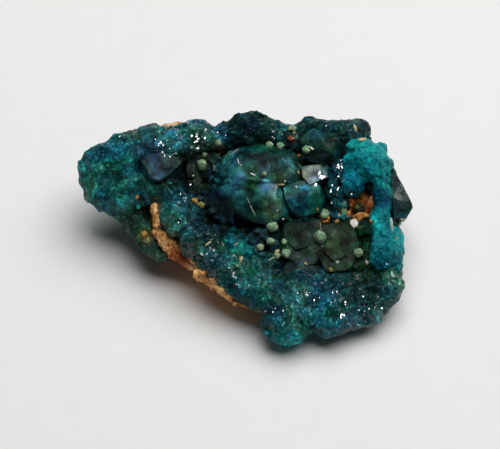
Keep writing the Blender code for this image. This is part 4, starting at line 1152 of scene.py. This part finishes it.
def worn(bm):
    # edges a little worn, and faces fine enough to carry the colours
    bmesh.ops.bevel(bm, geom=list(bm.edges), offset=facing["wear"], segments=1, affect="EDGES",
                    profile=facing["wearProfile"], clamp_overlap=True)
    bmesh.ops.triangulate(bm, faces=bm.faces)
    for _ in range(facing["splits"]):
        long = [e for e in bm.edges if e.calc_length() > facing["finest"]]
        bmesh.ops.subdivide_edges(bm, edges=long, cuts=1)
        bmesh.ops.triangulate(bm, faces=bm.faces)
    bm.normal_update()
    steps = layeredNoise(np.array([v.co[:] for v in bm.verts]), facing["uneven"])
    for vert, step in zip(bm.verts, steps):
        vert.co += vert.normal * step
    return fromBmesh(bm)


def prismHull(place, radius, halfLength, right, up, turn):
    # a dioptase prism, closed by three rhombs at each end, leaning right and up from the face
    axis = Vector((math.tan(math.radians(right)), math.tan(math.radians(up)), 1.0)).normalized()
    aim = (Matrix.Translation(seen(*place)) @ faceTurn.to_4x4()
           @ axis.to_track_quat("Z", "Y").to_matrix().to_4x4()
           @ Matrix.Rotation(math.radians(turn), 4, "Z"))
    bm = bmesh.new()
    for sign in (1, -1):
        for step in range(6):
            angle = math.radians(60.0 * step)
            fall = rhombFall * radius * (1.0 if (step % 2 == 0) == (sign > 0) else 0.5)
            bm.verts.new(aim @ Vector((
                radius * math.cos(angle), radius * math.sin(angle), sign * (halfLength - fall))))
        bm.verts.new(aim @ Vector((0.0, 0.0, sign * halfLength)))
    closeHull(bm)
    bmesh.ops.dissolve_limit(bm, angle_limit=roots["flatWithin"], verts=bm.verts, edges=bm.edges)
    return bm


def largeCrystal(name, hull):
    points, faces = worn(hull)
    finished(name + "Crystal", points, faces, crystalPaint, druseTone(points, glow),
             sharpFrom=facing["sharpFrom"])


print("large crystals")
for name, corners in large.items():
    largeCrystal(name, hullOf(corners))
for name, shape in prisms.items():
    largeCrystal(name, prismHull(*shape))

# Middling crystals that fill the hollows round the large ones

bpy.context.view_layer.update()
pieceTrees = {}                   # for each piece's name, once the eye has looked for it


def firstSeen(right, up):
    # where the eye meets the specimen there, in millimetres, and the way that faces; or None
    start = seen(right, up, 0.0) + towardEye * layout["eyeStart"]
    best = None
    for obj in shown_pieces():
        if obj.name not in pieceTrees:
            pieceTrees[obj.name] = BVHTree.FromObject(obj, bpy.context.evaluated_depsgraph_get())
        spot, normal, _, gap = pieceTrees[obj.name].ray_cast(start * mm, -towardEye)
        if spot is not None and (best is None or gap < best[2]):
            best = spot / mm, normal.normalized(), gap
    return best and best[:2]


between = {
    "lean": 0.42, "tall": (2.2, 3.2), "sunk": 0.55, "squash": 0.12, "scatter": 0.55,
    "lowest": -5.0,
    "toneSpread": 0.35,
    # seen at (right, up), spread of each, how many, radius, the highest level they start from
    "groups": [
        ((-6.2, 4.6), (1.7, 2.6), 46, (0.45, 1.0), -0.8),
        ((-3.6, 8.4), (0.8, 1.8), 18, (0.4, 0.8), -0.6),
        ((12.0, 6.3), (1.0, 2.3), 60, (0.35, 0.8), 0.4),
        ((6.4, 10.6), (1.3, 1.5), 26, (0.4, 0.9), -0.2),
        ((0.6, -1.8), (3.6, 1.5), 60, (0.35, 0.8), -1.0),
        ((-4.4, -0.6), (1.6, 1.5), 26, (0.4, 0.9), -0.6),
        ((10.4, -6.0), (4.0, 0.9), 40, (0.3, 0.7), -1.3),
        ((16.4, -3.2), (1.4, 2.4), 40, (0.4, 0.95), -1.2),
        ((12.0, 1.8), (2.6, 0.6), 26, (0.3, 0.6), -1.5),
        ((7.6, 1.6), (2.4, 0.6), 22, (0.3, 0.6), -1.5),
    ],
}
print("middling crystals")
rows = []
for middle, spread, howMany, radii, highest in between["groups"]:
    for _ in range(howMany):
        place = [middle[k] + rng.normal(0.0, between["scatter"]) * spread[k] for k in (0, 1)]
        hit = firstSeen(*place)
        wide = rng.uniform(*radii)
        lean = Vector(rng.normal(0.0, between["lean"], 3))
        if hit is None or insideOutline(np.array([place]), crust["pocket"])[0]:
            continue
        if not between["lowest"] < (partToFace @ hit[0]).z < highest:
            continue
        axis = (faceTurn @ Vector((0.0, 0.0, 1.0)) + lean).normalized()
        tall = wide * rng.uniform(*between["tall"])
        rows.append((*(hit[0] - axis * tall * between["sunk"]), *axis, wide, tall))
rows = np.array(rows)
count = len(rows)
points, faces = crystalField(
    rows[:, :3], rows[:, 3:6], rows[:, 6], rows[:, 7], rng.uniform(0.0, fullTurn, count),
    rng.uniform(-between["squash"], between["squash"], count))
tone = np.repeat(np.exp(rng.normal(0.0, between["toneSpread"], count)), 13)[:, None]
finished("hollowCrystals", points, faces, crystalPaint,
         zoneBlend(points, zoneTint, glow) * tone)

# Spherules

spherules = {
    # (right, up), diameter, flattening, yellowness
    "places": [
        (-5.9, 8.7, 1.5, 0.95, 0.1), (-5.6, 10.1, 0.7, 1.0, 0.5), (3.1, 11.5, 1.2, 0.8, 0.5),
        (4.6, 11.3, 1.1, 0.95, 0.2), (6.3, 13.7, 0.9, 0.8, 0.8), (8.0, 10.8, 1.1, 0.9, 0.2),
        (2.4, 7.5, 0.7, 0.9, 0.9), (10.5, 2.1, 1.4, 0.9, 0.3), (13.0, 2.5, 1.3, 0.95, 0.2),
        (3.5, 0.5, 1.7, 0.9, 0.1), (9.9, -0.9, 1.9, 1.1, 0.2), (3.2, -1.5, 1.3, 0.95, 0.5),
        (1.9, -2.3, 1.1, 0.9, 0.7), (5.1, -1.6, 0.9, 0.9, 0.6), (5.3, -3.1, 1.3, 0.9, 0.5),
        (4.2, -3.4, 1.0, 0.8, 0.8), (15.0, -3.0, 1.3, 0.95, 0.4), (-3.7, 11.7, 0.9, 1.2, 0.9)],
    "sunk": 0.2,
    "lumps": [(0.45, 41, 0.24), (0.16, 42, 0.08)],    # sizes are shares of the diameter
    "fullness": 0.92,
    "green": (0.17, 0.34, 0.21),
    "cream": (0.48, 0.47, 0.27),
}
print("spherules")
balls, ballTints = [], []
for right, up, diameter, flat, yellow in spherules["places"]:
    hit = firstSeen(right, up)
    if hit is None:
        continue
    bm = bmesh.new()
    bmesh.ops.create_icosphere(bm, subdivisions=4, radius=0.5 * diameter)
    ball, faces = fromBmesh(bm)
    lumps = sum(smoothNoise(ball + shift, diameter * size, seed) * height
                for shift, (size, seed, height) in zip((right, up), spherules["lumps"]))
    ball = ball * (spherules["fullness"] + lumps)[:, None]
    ball[:, 2] *= flat
    middle = hit[0] + towardEye * diameter * (0.5 - spherules["sunk"])
    balls.append((ball + np.array(middle), faces))
    tone = np.array(spherules["green"]) * (1 - yellow) + np.array(spherules["cream"]) * yellow
    ballTints += [tone] * len(ball)
points, faces = joined(balls)
finished("spherules", np.array(points), faces, ballPaint, np.array(ballTints),
         smooth=True)

# Pale and rusty grains caught between the crystals

tones = {
    "cream": (0.50, 0.45, 0.26), "white": (0.66, 0.64, 0.58), "olive": (0.20, 0.20, 0.06),
    "amber": (0.46, 0.24, 0.06), "orange": (0.55, 0.20, 0.045), "rust": (0.20, 0.05, 0.02),
    "grey": (0.30, 0.36, 0.32), "pale": (0.34, 0.44, 0.34), "teal": (0.02, 0.42, 0.34),
}
bits = [
    # seen at (right, up), length, width, turn in degrees, tone
    (-3.7, 11.2, 0.5, 0.3, 80, "amber"), (-3.6, 10.3, 0.45, 0.3, 90, "orange"),
    (-1.6, 10.4, 1.7, 0.22, 32, "grey"), (-1.0, 9.1, 0.95, 0.22, -75, "white"),
    (-0.7, 8.6, 0.4, 0.3, 20, "pale"), (0.9, 7.4, 0.8, 0.25, -20, "white"),
    (4.6, 6.1, 1.2, 0.42, 5, "cream"), (5.2, 6.5, 0.3, 0.2, 60, "white"),
    (0.9, 2.6, 1.7, 0.16, -68, "pale"), (0.3, 3.9, 1.0, 0.13, -70, "grey"),
    (4.2, 2.6, 0.4, 0.25, 60, "pale"), (4.9, 1.5, 0.35, 0.25, 10, "white"),
    (7.0, 7.7, 0.55, 0.3, -40, "cream"), (6.7, 5.7, 0.4, 0.3, -60, "white"),
    (8.7, 11.0, 0.95, 0.34, -38, "white"), (7.1, 9.9, 0.6, 0.5, 20, "orange"),
    (7.5, 9.0, 0.6, 0.4, 70, "cream"), (5.9, 13.6, 0.6, 0.5, 60, "cream"),
    (6.4, 13.1, 0.5, 0.45, 20, "cream"), (5.9, 12.3, 0.8, 0.7, 10, "rust"),
    (6.3, 12.3, 0.35, 0.3, 0, "cream"), (9.6, 2.8, 0.6, 0.3, 80, "amber"),
    (10.6, 1.1, 1.1, 0.5, -5, "orange"), (12.1, 1.1, 0.8, 0.5, 15, "amber"),
    (14.7, 13.7, 0.5, 1.1, 10, "cream"), (15.6, 12.1, 1.2, 0.5, 15, "cream"),
    (-6.9, 3.9, 0.8, 1.0, 20, "amber"), (-6.1, 3.3, 1.1, 0.9, 0, "olive"),
    (-5.0, -1.8, 1.0, 0.25, 35, "cream"), (-5.9, -3.2, 0.5, 0.3, -50, "white"),
    (-1.4, -1.9, 0.75, 0.3, 45, "cream"), (-0.7, -4.0, 0.4, 1.1, -15, "cream"),
    (4.3, -2.9, 1.3, 0.6, 15, "cream"), (3.4, -3.9, 0.9, 0.3, 35, "pale"),
    (8.0, -4.5, 0.55, 0.3, -45, "cream"), (16.1, -4.3, 0.5, 0.9, 30, "white"),
    (11.3, -5.3, 0.8, 0.7, 10, "olive"), (12.2, -4.3, 0.6, 0.4, 30, "pale"),
    (-13.6, -0.6, 1.1, 0.9, 20, "amber"), (-14.6, 4.4, 0.6, 0.6, 0, "amber"),
    (-10.2, 6.3, 0.5, 0.4, 40, "teal"), (-14.4, 3.2, 0.9, 0.7, 60, "teal"),
    (14.9, 3.1, 0.7, 0.7, 0, "olive"), (13.7, 2.2, 0.9, 0.5, 60, "orange"),
    (16.1, 1.9, 0.8, 0.6, 20, "amber"), (16.7, 1.2, 0.5, 0.5, 0, "orange"),
    (19.4, 0.4, 0.5, 2.6, 3, "pale"), (14.5, 0.7, 1.3, 1.5, 8, "white"),
    (20.0, -1.2, 0.4, 0.6, 10, "amber"),
    (-6.4, 9.2, 0.35, 0.25, 0, "cream"), (-7.1, 7.3, 0.3, 0.25, 30, "white"),
]
chips = {"corners": 18, "depth": 0.4, "leastDepth": 0.06, "proud": 0.3, "size": 0.55, "firstSeed": 300}


def chip(middle, ways, halves, seed):
    # a small rough-sided chip: a closed hull round random places
    draw = np.random.default_rng(seed)
    bm = bmesh.new()
    for _ in range(chips["corners"]):
        toward = Vector(draw.normal(0.0, 1.0, 3)).normalized()
        bm.verts.new(middle + ways[0] * toward.x * halves[0] + ways[1] * toward.y * halves[1]
                     + ways[2] * toward.z * halves[2])
    closeHull(bm)
    return fromBmesh(bm)


print("caught grains")
caught, caughtTints = [], []
for number, (right, up, length, width, turn, tone) in enumerate(bits):
    hit = firstSeen(right, up)
    if hit is None:
        continue
    spot, facingWay = hit
    normal = (facingWay + towardEye).normalized()
    angle = math.radians(turn)
    sideways = Vector((math.cos(angle), 0.0, 0.0)) + (
        faceTurn @ Vector((0.0, 1.0, 0.0))) * math.sin(angle)
    across = (sideways - normal * sideways.dot(normal)).normalized()
    deep = chips["depth"] * min(length, width) + chips["leastDepth"]
    caught.append(chip(spot + normal * deep * chips["proud"], (across, normal.cross(across), normal),
                       (chips["size"] * length, chips["size"] * width, deep),
                       chips["firstSeed"] + number))
    caughtTints += [tones[tone]] * len(caught[-1][0])
points, faces = joined(caught)
finished("caughtGrains", np.array(points), faces, bitPaint, np.array(caughtTints))

# Bright little crystal plates, turned so that they return the lamp to the eye

lamps = {
    # which way each lamp lies, and whether matt and glossy surfaces show its light
    "keyLight": {"toward": (0.30, 0.34, 1.0), "distance": 0.6, "size": (0.75, 0.75), "power": 3.5,
                 "colour": (1.0, 0.98, 0.95), "diffuse": True, "glossy": False},
    "sparkLight": {"toward": (0.70, 0.255, 0.667), "distance": 0.6, "size": (0.22, 0.22),
                   "power": 1.3, "colour": (1.0, 0.99, 0.97), "diffuse": False, "glossy": True},
    "ceilingLight": {"toward": (0.1, 0.30, 1.0), "distance": 0.7, "size": (0.9, 0.7),
                     "power": 2.35, "colour": (0.95, 0.97, 1.0), "diffuse": True,
                     "glossy": False},
}
plates = {
    "scatter": (0.6, 0.45), "facingAtLeast": 0.25, "sway": 0.035, "size": (0.2, 0.55),
    "ragged": (0.55, 1.1), "wide": 1.5, "narrow": 0.75,
    "foot": 1.05, "below": 0.7, "above": 0.22,    # shares of a plate's radius
    # seen at (right, up), size, how many, spread
    "groups": [
        (-11.2, 11.6, 0.42, 24, 1.3), (-10.0, 10.2, 0.36, 18, 0.9), (-6.4, 11.8, 0.42, 28, 1.1),
        (-8.2, 12.4, 0.3, 8, 0.9), (-12.4, 6.2, 0.5, 1, 0.0), (-10.8, 10.2, 0.3, 4, 0.6),
        (-7.4, -1.1, 0.42, 1, 0.0), (-6.0, -4.4, 0.45, 2, 0.3), (-2.4, -4.9, 0.4, 1, 0.1),
        (2.1, -6.0, 0.4, 2, 0.3), (2.1, -10.3, 0.4, 4, 0.7), (13.1, -9.7, 0.45, 2, 0.3),
        (13.0, -10.8, 0.32, 8, 0.9), (19.6, -7.2, 0.5, 1, 0.0), (13.1, 8.9, 0.3, 4, 0.4),
        (11.4, 7.0, 0.5, 24, 1.3), (12.2, 5.0, 0.5, 14, 1.3), (12.4, 8.6, 0.45, 10, 0.9),
        (-17.8, 9.2, 0.3, 3, 0.8), (-16.6, 12.8, 0.3, 3, 0.6), (-8.7, 4.9, 0.3, 8, 1.1),
        (-9.0, 1.0, 0.42, 1, 0.0), (7.6, -8.4, 0.26, 10, 1.6), (4.6, -10.6, 0.26, 10, 1.8),
        (10.6, -9.2, 0.26, 8, 1.4), (16.6, -10.4, 0.26, 8, 1.6), (18.6, -5.0, 0.3, 4, 1.0),
        (-16.4, 6.8, 0.24, 8, 2.2), (0.4, -7.0, 0.26, 8, 1.6), (3.9, 12.9, 0.26, 6, 1.0),
        (11.0, 13.6, 0.28, 5, 0.8), (-2.6, 12.6, 0.26, 4, 1.2), (20.4, 3.6, 0.3, 3, 0.8),
    ],
}


def plateField(places, axes, radii):
    # thin six-sided plates, uneven in outline, facing along their axes
    across, other = sidesOf(axes)
    points = np.zeros((len(places), 12, 3))
    turns = rng.uniform(0.0, fullTurn, len(places))
    for step in range(6):
        angle = (turns + sixth * step)[:, None]
        reach = (radii * rng.uniform(*plates["ragged"], len(places)))[:, None]
        rim = (across * plates["wide"] * np.cos(angle)
               + other * plates["narrow"] * np.sin(angle)) * reach
        points[:, step] = places + rim * plates["foot"] - axes * (radii * plates["below"])[:, None]
        points[:, 6 + step] = places + rim + axes * (radii * plates["above"])[:, None]
    return points.reshape(-1, 3), repeated(plateFaces, 12, len(places))


print("bright plates")
toLight = Vector(lamps["sparkLight"]["toward"]).normalized()
mirrorWay = (towardEye + toLight).normalized()
rows = []
for right, up, size, howMany, spread in plates["groups"]:
    for _ in range(howMany):
        u = right + rng.normal(0.0, plates["scatter"][0]) * spread
        v = up + rng.normal(0.0, plates["scatter"][1]) * spread
        hit = firstSeen(u, v)
        if hit is None or hit[1].dot(mirrorWay) < plates["facingAtLeast"]:
            continue
        way = (mirrorWay + Vector(rng.normal(0.0, plates["sway"], 3))).normalized()
        rows.append((*hit[0], *way, size * rng.uniform(*plates["size"])))
rows = np.array(rows)
points, faces = plateField(rows[:, :3], rows[:, 3:6], rows[:, 6])
finished("brightPlates", points, faces, platePaint, druseTone(points), wet=1.0)

# Table, light and camera

room = {"tableReach": 4.0, "colour": (0.9, 0.95, 1.0), "strength": 0.04}
print("stage")
reach = room["tableReach"]
corners = [(-reach, -reach, 0.0), (reach, -reach, 0.0), (reach, reach, 0.0), (-reach, reach, 0.0)]
table = newObject("table", meshFrom("table", corners, [(0, 1, 2, 3)]))
table.data.materials.append(tablePaint())
for name, lamp in lamps.items():
    data = bpy.data.lights.new(name, "AREA")
    data.shape = "ELLIPSE"
    data.size, data.size_y = lamp["size"]
    data.energy, data.color = lamp["power"], lamp["colour"]
    obj = newObject(name, data)
    direction = Vector(lamp["toward"]).normalized()
    obj.location = direction * lamp["distance"]
    obj.rotation_euler = direction.to_track_quat("Z", "Y").to_euler()
    obj.visible_diffuse, obj.visible_glossy = lamp["diffuse"], lamp["glossy"]
world = bpy.data.worlds.new("room")
bpy.context.scene.world = world
world.use_nodes = True
background = world.node_tree.nodes["Background"]
background.inputs["Color"].default_value = (*room["colour"], 1.0)
background.inputs["Strength"].default_value = room["strength"]

lens = bpy.data.cameras.new("camera")
camera = newObject("camera", lens)
target = seen(*layout["pictureMiddle"], 0.0)
camera.location = (target + towardEye * layout["cameraDistance"]) * mm
camera.rotation_euler = (math.radians(90.0 - layout["elevation"]), 0.0, 0.0)
lens.sensor_width = 36.0
lens.lens = lens.sensor_width * layout["cameraDistance"] / layout["pictureWidth"]
lens.clip_end = 10.0
bpy.context.scene.camera = camera
bpy.context.scene.view_settings.view_transform = "Standard"

print("done")
